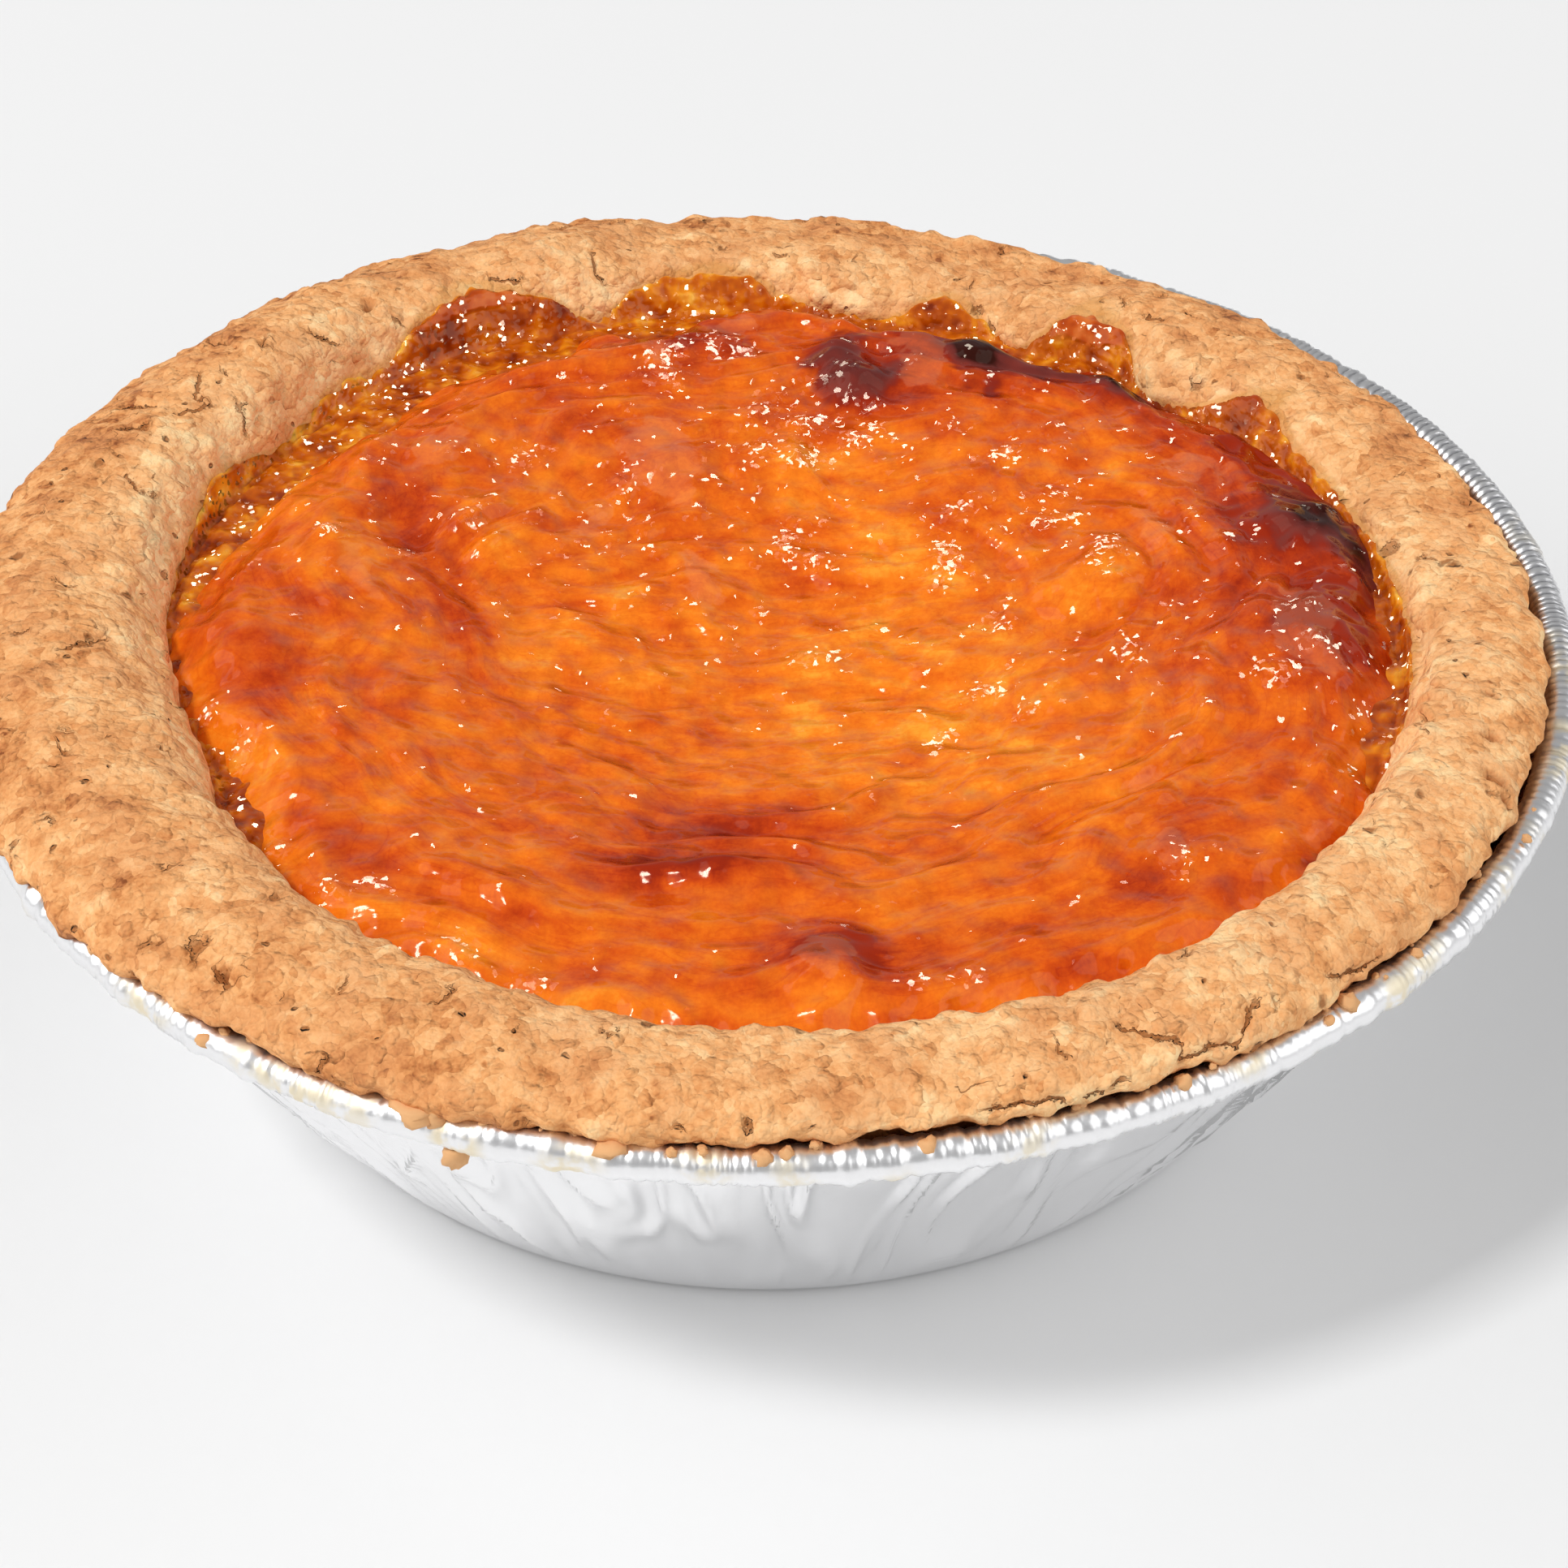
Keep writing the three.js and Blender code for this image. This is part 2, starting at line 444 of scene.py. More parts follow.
def pastry_finish():
    """Baked shortcrust: matt and sandy, cream to brown, pitted, and stained where syrup soaked in, with
    painted shade in its hollows, cracks, pits and holes and under its edge.
    """
    finish = Finish("crust")
    places = finish.places()
    strayed = finish.strayed(places, 1.1, 0.9)

    # Colour by how brown each place is, down to single crumbs, with painted shade in the hollows between
    # lumps
    lumps = finish.cloud(places, 1.3, detail=2.0, roughness=0.5)
    sand = finish.cloud(places, 0.25, detail=1.0, roughness=0.6)
    patches = finish.cloud(places, 3.6, detail=3.0, roughness=0.6)
    crumbs = finish.node("ShaderNodeTexVoronoi", {}, {"Vector": strayed, "Scale": 1.0 / 0.7})
    crumb = finish.node("ShaderNodeSeparateColor", {}, {"Color": crumbs.other("Color")})
    # Painted shade and light: the hollows between the lumps are darker and their tops paler
    tone = finish.value("bake") + (patches - 0.5) * 0.6 + (0.5 - lumps) * 0.65 + (sand - 0.5) * 0.45
    tone = tone + (crumb - 0.5) * 0.3
    brown = finish.dots(strayed, 1.5, 0.2, 0.3)
    pits = (finish.dots(strayed, 1.2, 0.17, 0.25) + finish.dots(strayed, 2.7, 0.34, 0.3)).limited()
    baked = finish.ramp((tone + brown * 0.3).limited(), PASTRY_TONES)
    blush = (patches + (lumps - 0.5) * 0.4).step(0.46, 0.62)
    baked = finish.mixed(blush * 0.35, baked, colour(0.72, 0.31, 0.12))
    stained = (finish.value("soaked") + (lumps - 0.5) * 1.2).step(0.3, 0.9)
    baked = finish.mixed(stained * 0.55, baked, colour(0.66, 0.30, 0.07))

    # Painted shade: cracks, pits, holes and the rim's underside are darker inside
    ragged = finish.value("crack") + (sand - 0.5) * 0.5 + (lumps - 0.5) * 0.5
    crack = ragged.near(0.0, 0.17).step(0.1, 0.6) * finish.value("cracked")
    shaded_openings = (crack + pits + finish.value("hollow")).limited()
    shade = finish.mixed(shaded_openings * 0.8, baked, colour(0.33, 0.10, 0.02))

    # Relief, from sand grains to cracks
    grain = finish.bump(sand, 0.1, normal=finish.bump(lumps, 0.35))
    sandy = finish.bump((1.0 - crumbs) * (crumb + 0.4), 0.25, normal=grain)
    broken = finish.bump(1.0 - (crack + pits).limited(), 0.25, normal=sandy)
    return finish.done(
        finish.surface(
            {
                "Base Color": shade,
                "Roughness": 0.85,
                "Specular IOR Level": 0.25,
                "Normal": broken,
            }
        )
    )


SKIN_TONES = [
    (0.0, (0.33, 0.018, 0.001)),
    (0.2, (0.51, 0.044, 0.002)),
    (0.4, (0.67, 0.085, 0.003)),
    (0.6, (0.82, 0.148, 0.005)),
    (0.8, (0.94, 0.225, 0.009)),
    (1.0, (1.0, 0.37, 0.03)),
]

BURNT_TONES = [
    (0.0, (0.44, 0.036, 0.003)),
    (0.3, (0.27, 0.012, 0.001)),
    (0.55, (0.21, 0.030, 0.021)),
    (0.8, (0.14, 0.023, 0.019)),
    (1.0, (0.035, 0.005, 0.003)),
]

# Slope, along X and Y, of the wet faces. It is a fixed number, chosen halfway between the key lamp
# and the camera, so the glints show best from the front and hardly at all from behind.
GLINT_SLOPE = (0.34, 0.79)


def skin_finish():
    """Glossy baked skin, from golden orange to burnt: softly mottled, with wet facets that glint."""
    finish = Finish("filling")
    places = finish.places()
    rough = finish.value("rough")

    # Fibres run round the ring, and from side to side in the middle
    grain = {"detail": 2.0, "roughness": 0.6, "distortion": 0.15}
    on_ring = finish.value("ringed")
    round_ring = finish.cloud(finish.vector("flow"), 0.7, **grain)
    across = finish.cloud(finish.stretched(places, 0.9, 2.4), 1.0, **grain)
    fibres = round_ring * on_ring + across * (1.0 - on_ring)
    blotches = finish.cloud(places, 2.2, detail=4.0, roughness=0.55, distortion=0.3, level=True)
    specks = finish.cloud(places, 0.3, detail=2.0, roughness=0.7, level=True)

    # Golden to red-brown, with painted shade on the steps between plates, then burnt places, then pale
    # films with a painted sheen
    shaded_folds = finish.value("terrace").math("FRACT").near(0.62, 0.25)
    veins = fibres.near(0.5, 0.02)
    tone = finish.value("tone") + (fibres - 0.5) * 0.45 + (blotches - 0.5) * 0.6 - shaded_folds * 0.1
    tone = tone + (specks - 0.5) * 0.25 - veins * 0.08
    skin = finish.ramp(tone.limited(), SKIN_TONES)
    burnt = finish.value("burnt") + (fibres - 0.5) * 0.5 + (blotches - 0.5) * 0.5
    skin = finish.mixed(burnt.step(0.12, 0.42), skin, finish.ramp(burnt.limited(), BURNT_TONES))
    # The pale films are partly the skin's own paler colour and partly a painted sheen
    milky = (finish.value("milky") + (blotches - 0.5) * 1.1 + (fibres - 0.5) * 0.5).step(0.45, 0.6)
    skin = finish.mixed(milky * 0.12, skin, colour(0.86, 0.40, 0.22))

    # Wrinkled relief with wet facets
    strayed = finish.strayed(places, 1.6, 0.7, level=True)
    plates = finish.cloud(places, 1.5, detail=0.0, level=True)
    wrinkles = finish.bump(fibres, 0.08, normal=finish.bump(plates, 0.5))
    wet = finish.value("gleam") + plates.step(0.5, 0.66) * rough * 0.22
    common = {
        "Base Color": skin,
        "Roughness": 0.1,
        "IOR": 1.45,
        "Specular Tint": colour(1.0, 0.88, 0.72),
        "Normal": finish.glinting(strayed, 0.25, 0.3, wet, wrinkles),
    }
    golden = finish.surface(common | {"Specular IOR Level": 0.36})
    charred = finish.surface(common | {"Specular IOR Level": 0.18})
    shares = {0: burnt.step(0.25, 0.6), 1: golden, 2: charred}
    return finish.done(finish.node("ShaderNodeMixShader", {}, shares))


SYRUP_TONES_TO_GLINT = [
    (0.0, (0.20, 0.018, 0.001)),
    (0.25, (0.40, 0.058, 0.001)),
    (0.5, (0.58, 0.115, 0.002)),
    (0.75, (0.82, 0.26, 0.008)),
    (1.0, (0.97, 0.50, 0.06)),
]

CARAMEL_TONES = [
    (0.0, (0.36, 0.036, 0.002)),
    (0.5, (0.56, 0.085, 0.006)),
    (1.0, (0.74, 0.20, 0.04)),
]


def syrup_finish():
    """Amber syrup: lumpy and clear below, caramelised to a red-brown where it ran up the pastry, and paler
    and yellower on the tops of its lumps, partly as painted glints.
    """
    finish = Finish("syrup")
    places = finish.places()
    pools = finish.cloud(places, 2.2, detail=2.0, roughness=0.55, distortion=0.4)
    drops = finish.cloud(places, 0.8, detail=1.0, roughness=0.5)
    # The tops of the lumps run up to pale yellow: partly the amber's own colour, partly painted glints
    amber = finish.value("amber") + (pools - 0.5) * 1.3 + (drops - 0.5) * 0.9
    clear = finish.ramp(amber.limited(), SYRUP_TONES_TO_GLINT)
    burnt = finish.ramp((pools * 0.6 + drops * 0.4).step(0.3, 0.7), CARAMEL_TONES)
    caramel = (finish.value("caramel") + (pools - 0.5) * 0.8).step(0.3, 0.7)
    lumps = finish.bump(drops * (1.0 - caramel * 0.7), 0.3)
    ripples = finish.bump(finish.cloud(places, 0.35, detail=0.0), 0.04, normal=lumps)
    return finish.done(
        finish.surface(
            {
                "Base Color": finish.mixed(caramel, clear, burnt),
                "Roughness": 0.08,
                "IOR": 1.45,
                "Specular IOR Level": 0.5,
                "Specular Tint": colour(1.0, 0.85, 0.65),
                "Normal": finish.glinting(places, 0.22, 0.34, 0.15, ripples),
            }
        )
    )


def floor_finish():
    finish = Finish("floor")
    matt = {"Base Color": colour(0.86, 0.86, 0.86), "Roughness": 1.0, "Specular IOR Level": 0.0}
    return finish.done(finish.surface(matt))


# ------------------------------------------------------------------------------ camera first
CAMERA_PLACE = Vector((0.79, -163.3, 135.3)) * MM
CAMERA_TILT = 37.263  # degrees down from level
CAMERA_ROLL = -0.607
LENS = 86.1


def make_camera():
    data = bpy.data.cameras.new("camera")
    data.lens = LENS
    data.sensor_width = 36.0
    data.clip_start = 0.01
    camera = bpy.data.objects.new("camera", data)
    tilt = Matrix.Rotation(math.radians(90.0 - CAMERA_TILT), 4, "X")
    roll = Matrix.Rotation(math.radians(CAMERA_ROLL), 4, "Z")
    camera.matrix_world = Matrix.Translation(CAMERA_PLACE) @ tilt @ roll
    bpy.context.scene.collection.objects.link(camera)
    bpy.context.scene.camera = camera


# --------------------------------------------------------------------------------- foil tin
TIN_COLUMNS = 1200
CURL_COLUMNS = 2400
CURL_ROWS = 14
CRIMPS = 470  # fine ribs round the rolled edge
CREASE_PACE = 15.0  # the larger, the more creases round the wall


def wall_radius(height):
    """Outer radius of the tin's wall at a height."""
    return mix(BASE_RADIUS, CURL_MIDDLE - CURL_RADIUS * 0.55, height / CURL_HEIGHT)


def wall_creases(azimuth, height):
    """How far the pressed creases push the foil in or out."""
    round_wall = turned_points(CREASE_PACE, height / 9, azimuth)
    lean = noise(round_wall * 0.6, 41) * 2.4
    crease = turned_points(CREASE_PACE, height / 14, azimuth + lean * (height / 6.0))
    sharp = 1.0 - np.abs(noise(crease, 42)) * 3.2
    fine = noise(crease * np.array([2.1, 2.1, 1.5]), 43)
    presence = smooth(-0.6, 0.1, noise(round_wall * 0.8, 44))
    pleats = 0.55 * np.clip(sharp, 0.0, 1.0) ** 1.5 * presence + 0.2 * fine
    fades = smooth(0.8, 5.0, height) * (1.0 - 0.5 * smooth(17.0, CURL_HEIGHT, height))
    return pleats * fades


def make_tin_wall():
    """The wall and base as one thin closed shell, from mid-underside round to the inside."""
    azimuth = np.arange(TIN_COLUMNS) * 360.0 / TIN_COLUMNS
    corner = np.radians(np.linspace(-90.0, -20.0, 5))
    up = np.linspace(WALL_FOOT, CURL_HEIGHT, 24)
    down = np.linspace(CURL_HEIGHT, WALL_FOOT, 16)
    outer = [(r, 0.0) for r in (12.0, 24.0)]
    outer += [(BASE_RADIUS - CORNER + 1.4 * math.cos(a), CORNER + math.sin(a)) for a in corner]
    outer += [(wall_radius(h), h) for h in up]
    inner = [(wall_radius(h) - FOIL * 1.2, h) for h in down]
    inner += [(BASE_RADIUS - 0.9, 0.4), (BASE_RADIUS - 2.0, FOIL), (12.0, FOIL)]
    radius, height = np.array(outer + inner).T[:, :, None]
    on_wall = (radius > BASE_RADIUS - 0.5) & (height > 0.5)
    push = wall_creases(azimuth[None, :], height) * on_wall
    return closed_shell(turned_points(radius + push, height, azimuth[None, :]), 0.0, FOIL)


def make_curl():
    """The rolled edge: a bead of foil crimped into fine slanting ribs, dented here and there."""
    azimuth = np.arange(CURL_COLUMNS) * 360.0 / CURL_COLUMNS
    around = np.arange(CURL_ROWS)[:, None] * 360.0 / CURL_ROWS
    rim = turned_points(RIM_RADIUS, 0.0, azimuth)
    wander = noise(rim / 5.0, 51) * 2.2 + noise(rim / 1.7, 52) * 0.5
    phase = azimuth * CRIMPS / 360.0 + wander + around / 360.0 * 0.7
    rib = np.abs(np.sin(np.pi * phase)) ** 0.7

    # The ribs are crispest on the right, and the foil between them is battered by small dents
    pinched = facing(azimuth, 15.0, 40.0) + 0.15 * facing(azimuth, 265.0, 45.0)
    firmness = np.maximum(smooth(-0.5, 0.35, noise(rim / 6.0, 53)), pinched)
    dents = (0.14 * noise(rim / 2.4, 54) + 0.16 * (puffs(rim / 1.3, 55) - 0.5)) * (1.0 - 0.5 * pinched)
    firmness = mix(0.15, 1.0, firmness)
    section = CURL_RADIUS + (0.08 + 0.14 * pinched) * (rib - 0.6) * firmness + dents
    tilt = np.radians(around)
    flat = 0.10 * noise(rim / 3.0 + 9.0, 56)
    points = turned_points(
        CURL_MIDDLE + section * np.cos(tilt) * (1.0 + flat),
        CURL_HEIGHT + section * np.sin(tilt) * (1.0 - flat) + 0.12 * noise(rim / 12.0, 57),
        azimuth[None, :],
    )
    # Where the foil finish paints shade: the creases between the firm ribs
    crease = (1.0 - rib) * firmness * smooth(0.1, 0.9, pinched)
    return points.reshape(-1, 3), grid_faces(CURL_ROWS, CURL_COLUMNS, rows_meet=True), crease.ravel()


def make_tin():
    wall_points, wall_faces = make_tin_wall()
    curl_points, curl_faces, curl_crease_shade = make_curl()
    points = np.vstack([wall_points, curl_points])
    faces = wall_faces + [[i + len(wall_points) for i in face] for face in curl_faces]
    azimuth = np.degrees(np.arctan2(points[:, 1], points[:, 0]))
    near_front = smooth(0.25, 0.7, 0.5 - 0.5 * np.sin(np.radians(azimuth)))
    patches = smooth(0.0, 0.45, noise(points / 3.5, 58))
    grease = patches * near_front * (points[:, 2] > CURL_HEIGHT - CURL_RADIUS)
    # Painted shade goes in the creases of the rolled edge only, none on the wall
    crease = np.append(np.zeros(len(wall_points)), curl_crease_shade)
    rolled = np.arange(len(points)) >= len(wall_points)
    tin = make_piece("tin", points, faces, {"grease": grease, "crease": crease, "rolled": rolled})
    tin.data.materials.append(foil_finish())
    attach(tin, "root")
    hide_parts("foil_tin")


# ------------------------------------------------------------------------------ pastry crust
CRUST_COLUMNS = 1150
CRUST_ROWS = 66  # over the part that shows
WALL_GAP = 0.5  # kept from the wall of the tin, whose creases reach inwards
CREST_STATION = 5  # place of the crest among the control points of the rim's section

# Height of the rim's crest round the pie: azimuth, height
CREST_HEIGHTS = [
    (3, 23.9), (14, 23.6), (35, 23.9), (46, 24.6), (56, 24.0), (66, 23.5),
    (75, 23.7), (83, 24.3), (100, 24.1), (109, 25.5), (117, 24.9), (132, 25.7),
    (141, 26.3), (152, 26.0), (180, 25.6), (200, 25.7), (250, 25.0), (270, 24.9),
    (320, 25.1), (340, 24.6),
]

# Radius of the rim's outer edge: the pastry sits off centre, over the edge of the tin on the left
LIP_RADII = [
    (0, 40.2), (15, 39.8), (30, 39.5), (45, 39.6), (60, 39.8), (75, 40.4),
    (90, 41.2), (105, 41.8), (120, 41.9), (150, 42.4), (180, 42.7), (210, 42.5),
    (240, 41.9), (270, 41.6), (300, 41.8), (330, 41.0), (345, 40.5),
]

# Radius where the rim's inner slope meets the filling
MOUTH_RADII = [
    (0, 33.6), (15, 33.1), (27, 32.9), (36, 32.8), (41, 31.6), (45, 31.2),
    (49, 32.6), (53, 33.4), (57, 32.6), (60, 31.6), (66, 33.0), (77, 32.0),
    (90, 33.2), (101, 33.4), (109, 32.7), (120, 33.8), (150, 32.9), (177, 32.3),
    (192, 31.5), (199, 31.1), (204, 31.0), (211, 32.0), (235, 33.3), (255, 34.0),
    (270, 34.7), (300, 35.0), (320, 34.6), (345, 34.0),
]

# Cracks in the rim: azimuth, how far out from the crest, heading (0 along the rim, 90 outwards), length
CRACKS = [
    (295.5, 3.0, 50, 3.2),
    (298.6, 4.7, 12, 3.4),
    (301.5, 4.2, -40, 2.4),
    (286.0, 4.6, 4, 3.6),
    (290.5, 5.0, -12, 2.6),
    (311.0, 4.6, 20, 2.8),
    (155.0, 1.5, 70, 2.4),
    (158.5, 0.2, 60, 1.6),
    (143.9, 1.6, 80, 1.6),
    (136.7, -2.5, 60, 1.8),
    (150.6, -0.8, -30, 2.8),
    (153.5, -1.8, 30, 2.4),
    (106.9, -2.6, 80, 2.2),
    (116.0, -2.0, 20, 1.8),
    (190.5, -2.0, 60, 2.8),
    (166.0, -2.2, -60, 2.0),
    (231.8, 3.4, 20, 1.4),
    (50.0, -1.0, 20, 1.6),
]

# Holes in the rim: azimuth, how far out from the crest, width
HOLES = [
    (333.8, 3.0, 1.0),
    (332.0, 3.9, 0.5),
    (343.0, 1.4, 0.55),
    (338.4, 1.9, 0.6),
    (129.9, -1.2, 0.7),
    (12.0, 2.6, 0.5),
    (231.8, 3.3, 0.5),
]


def crust_controls(azimuth):
    """Section of the rim at each azimuth as control points [point, azimuth, (radius, height)]."""
    top = round_the_rim(azimuth, CREST_HEIGHTS)
    mouth = round_the_rim(azimuth, MOUTH_RADII)
    lip = round_the_rim(azimuth, LIP_RADII)
    crest = CREST_RADIUS + 0.35 * (lip - LIP_RADIUS) + 0.3 * facing(azimuth, 280.0, 30.0)
    level = 0.0 * azimuth
    section = [
        (mouth - 1.0, MOAT_HEIGHT - 4.5 + level),
        (mouth - 0.7, MOAT_HEIGHT - 2.5 + level),
        (mouth - 0.3, MOAT_HEIGHT + 0.3 + level),
        (mouth + 0.2, mix(MOAT_HEIGHT, top, 0.45)),
        (mix(mouth, crest, 0.38), mix(MOAT_HEIGHT, top, 0.86)),
        (crest, top),
        (mix(crest, lip, 0.45), mix(LIP_HEIGHT, top, 0.82)),
        (mix(crest, lip, 0.84), mix(LIP_HEIGHT, top, 0.36)),
        (lip, LIP_HEIGHT - 0.35 + level),
        (lip - 0.45, CURL_HEIGHT + CURL_RADIUS + 0.1 + level),
        (mix(CURL_MIDDLE - CURL_RADIUS - 0.6, lip - 1.0, 0.4), CURL_HEIGHT + 0.9 + level),
        (wall_radius(20.6) - WALL_GAP + level, 20.6 + level),
    ]
    return np.array(section).transpose(0, 2, 1)


def crust_cracks(azimuth, outwards, shown):
    """How far each point is across the nearest crack, in millimetres, and how much of a crack is there."""
    seam = noise(shown / 3.0 + 0.4 * noise(shown / 0.9, 67)[..., None], 68)
    across = seam * 2.2
    presence = 0.8 * smooth(0.40, 0.52, noise(shown / 1.7, 69))
    for place, out, heading, length in CRACKS:
        arc = np.radians(turn_between(azimuth, place)) * CREST_RADIUS
        lead = math.radians(heading)
        along = arc * math.cos(lead) + (outwards - out) * math.sin(lead)
        aside = (outwards - out) * math.cos(lead) - arc * math.sin(lead)
        aside = aside + 0.35 * noise(shown / 0.9, 74) + 0.2 * noise(shown / 0.4, 75)
        here = smooth(0.62, 0.42, np.abs(along) / length) * smooth(1.3, 0.9, np.abs(aside))
        nearer = here > presence
        across = np.where(nearer, aside, across)
        presence = np.maximum(presence, here)
    return across, presence


def crust_holes(azimuth, outwards, shown):
    """1 inside the small holes in the rim and 0 elsewhere."""
    hollow = np.zeros_like(outwards)
    for place, out, width in HOLES:
        arc = np.radians(turn_between(azimuth, place)) * CREST_RADIUS
        away = np.maximum(np.abs(arc), np.abs(outwards - out)) + 0.15 * noise(shown / 0.6, 76)
        hollow = np.maximum(hollow, smooth(0.62, 0.38, away / width))
    return hollow


def crust_relief(station, inner_slope, shown, crumbs, grit):
    """Lumps, crumbs and grit, the broken inner slope and the ragged lower edge, in millimetres."""
    lumps = 0.34 * layered(shown / 7.0, 2, 61) + 0.22 * noise(shown / 2.6, 62)
    sandy = 0.10 * noise(shown / 1.1, 63)
    crumb_distance, crumb_number = crumbs
    crumbly = 0.20 * smooth(0.6, 0.15, crumb_distance) * smooth(0.35, 0.8, crumb_number)
    grit_distance, grit_number = grit
    gritty = 0.09 * smooth(0.6, 0.15, grit_distance) * grit_number
    low_edge = smooth(6.4, 8.0, station) * (1.0 - smooth(9.4, 9.9, station))
    ragged = low_edge * (0.38 * noise(shown / 1.9, 70) + 0.24 * noise(shown / 0.8, 71))
    broken = 0.32 * inner_slope * (puffs(shown / 1.7, 78) - 0.4)
    return lumps + sandy + crumbly + gritty + ragged + broken


def crust_browning(azimuth, station, inner_slope, shaded_underside, shown, crumbs, grit):
    """How brown the rim is baked, from 0 for cream to 1 for dark brown, with painted shade on its
    underside and painted light on the left inner slope.
    """
    crumb_distance, crumb_number = crumbs
    grit_number = grit[1]
    return (
        0.42
        + 0.16 * noise(shown / 6.0, 72)
        + 0.12 * noise(shown / 2.4, 73)
        - 0.18 * smooth(0.6, 0.85, crumb_number) * smooth(0.6, 0.2, crumb_distance)
        + 0.13 * smooth(4.6, 6.6, station)
        + 0.1 * (grit_number - 0.5)
        + 0.15 * facing(azimuth, 180.0, 55.0)
        # Painted shade under the rim's outer edge, beside the rolled edge of the tin
        + 0.35 * shaded_underside
        + 0.09 * facing(azimuth, 70.0, 65.0) * smooth(3.5, 5.0, station)
        - 0.13 * facing(azimuth, 300.0, 40.0)
        + 0.06 * facing(azimuth, 248.0, 14.0)
        - 0.08 * facing(azimuth, 345.0, 25.0)
        # Painted light: the left inner slope, turned away from the key lamp, is paler to make up for its
        # shade
        - 0.34 * inner_slope * facing(azimuth, 160.0, 48.0)
        - 0.16 * hump(station - 7.7, 0.7) * smooth(-0.2, 0.4, noise(shown / 2.8, 77))
    )


def close_crust(shown, azimuth, values):
    """The shell's points, faces and values, with the hidden faces against the filling and the tin."""
    inside = [(13.0, PASTRY_TOP), (25.6, PASTRY_TOP + 0.1), (27.6, 8.5), (30.4, 14.5)]
    outside = [(wall_radius(h) - WALL_GAP, h) for h in (16.0, 9.0, 2.4)]
    outside += [(26.2, PASTRY_FLOOR), (13.0, PASTRY_FLOOR)]
    before = [turned_points(r, h, azimuth) for r, h in inside]
    after = [turned_points(r, h, azimuth) for r, h in outside]
    whole = np.concatenate([np.array(before), shown, np.array(after)])
    points, faces = closed_shell(whole, PASTRY_TOP, PASTRY_FLOOR)
    hidden = ((len(inside), len(outside)), (0, 0))
    closed = {}
    for label, (shows, unseen) in values.items():
        padded = np.pad(shows, hidden, constant_values=unseen)
        closed[label] = np.append(padded.ravel(), [0.5, 0.5])
    return points, [face[::-1] for face in faces], closed


def make_crust():
    """The shortcrust shell: a finely modelled rim, closed by plain faces where it is out of sight."""
    azimuth = np.arange(CRUST_COLUMNS) * 360.0 / CRUST_COLUMNS
    controls = crust_controls(azimuth)
    stations = np.linspace(0.0, len(controls) - 1.0, CRUST_ROWS)
    section = splined(controls, stations)
    shown = turned_points(section[..., 0], section[..., 1], azimuth)
    normals = -surface_normals(shown)
    station = stations[:, None]

    # Distance out from the crest along the section
    steps = np.linalg.norm(np.diff(section, axis=0), axis=-1)
    walked = np.vstack([np.zeros(CRUST_COLUMNS), np.cumsum(steps, axis=0)])
    outwards = walked - walked[np.argmin(np.abs(stations - CREST_STATION))]

    crumbs, grit = grains(shown / 1.3, 65), grains(shown / 0.7, 66)
    across, presence = crust_cracks(azimuth, outwards, shown)
    gaping = smooth(0.35, 0.0, np.abs(across)) * presence
    hollow = crust_holes(azimuth, outwards, shown)
    above_syrup = shown[..., 2] - round_the_rim(azimuth, SYRUP_HEIGHTS)
    soaked = smooth(0.5, -0.1, above_syrup) * (station < CREST_STATION)
    stained = smooth(0.55, 0.05, above_syrup) * (station < CREST_STATION)
    inner_slope = hump(station - 3.5, 1.1)
    # The underside of the rim, where shade is painted in the gap beside the rolled edge
    shaded_underside = smooth(8.5, 9.2, station)

    relief = crust_relief(station, inner_slope, shown, crumbs, grit) - 0.3 * gaping - 0.7 * hollow
    in_sight = smooth(0.5, 2.0, station) * (1.0 - smooth(9.6, 10.6, station))
    relief = relief * in_sight
    shown = shown + normals * (relief * (1.0 - 0.85 * soaked))[..., None]
    baked = crust_browning(azimuth, station, inner_slope, shaded_underside, shown, crumbs, grit)

    # Each value on the part that shows, and what it is on the hidden faces
    values = {
        "bake": (baked, 0.5),
        # hollow carries painted shade: the holes, and the underside of the rim
        "hollow": (np.maximum(hollow, shaded_underside), 1.0),
        "soaked": (stained, 0.0),
        "crack": (across, 9.0),
        "cracked": (presence, 0.0),
    }
    crust = make_piece("pastry_crust", *close_crust(shown, azimuth, values))
    crust.data.materials.append(pastry_finish())
    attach(crust, "root")
    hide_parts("crust")


# ----------------------------------------------------------------------------------- filling
SKIN_SIDE = 300  # cells along each side of the square that is bent into the round skin
SKIN_MESH_RADIUS = 35.8
BOWL_MIDDLE = (1.5, -4.0)  # the sunken middle lies off centre
PLATE_STEP = 0.55  # height between the level plates of crumpled skin

# Radius where the skin ends, leaving syrup between it and the crust: azimuth, radius
SKIN_RADII = [
    (0, 33.3), (8, 33.8), (14, 33.4), (20, 32.9), (26, 32.7), (34, 32.4),
    (41, 31.4), (47, 32.2), (52.6, 32.4), (58, 31.8), (64, 32.0), (72, 31.8),
    (78, 31.0), (82, 32.0), (88, 33.6), (92, 33.4), (98, 31.4), (103, 31.2),
    (108, 32.4), (114, 30.2), (121, 30.8), (127, 31.6), (133, 30.6), (140, 29.8),
    (146, 31.2), (151, 30.2), (157, 29.8), (163, 30.2), (172, 31.0), (180, 31.4),
    (189, 31.2), (197, 30.4), (204, 29.7), (212, 30.3), (219, 31.4), (229, 34.2),
    (262, 35.2), (305, 35.4), (331, 34.6), (337, 32.4), (344, 32.3), (350, 33.2),
]

# The lists below give ovals on the skin: x, y, heading in degrees, half length, half width, amount

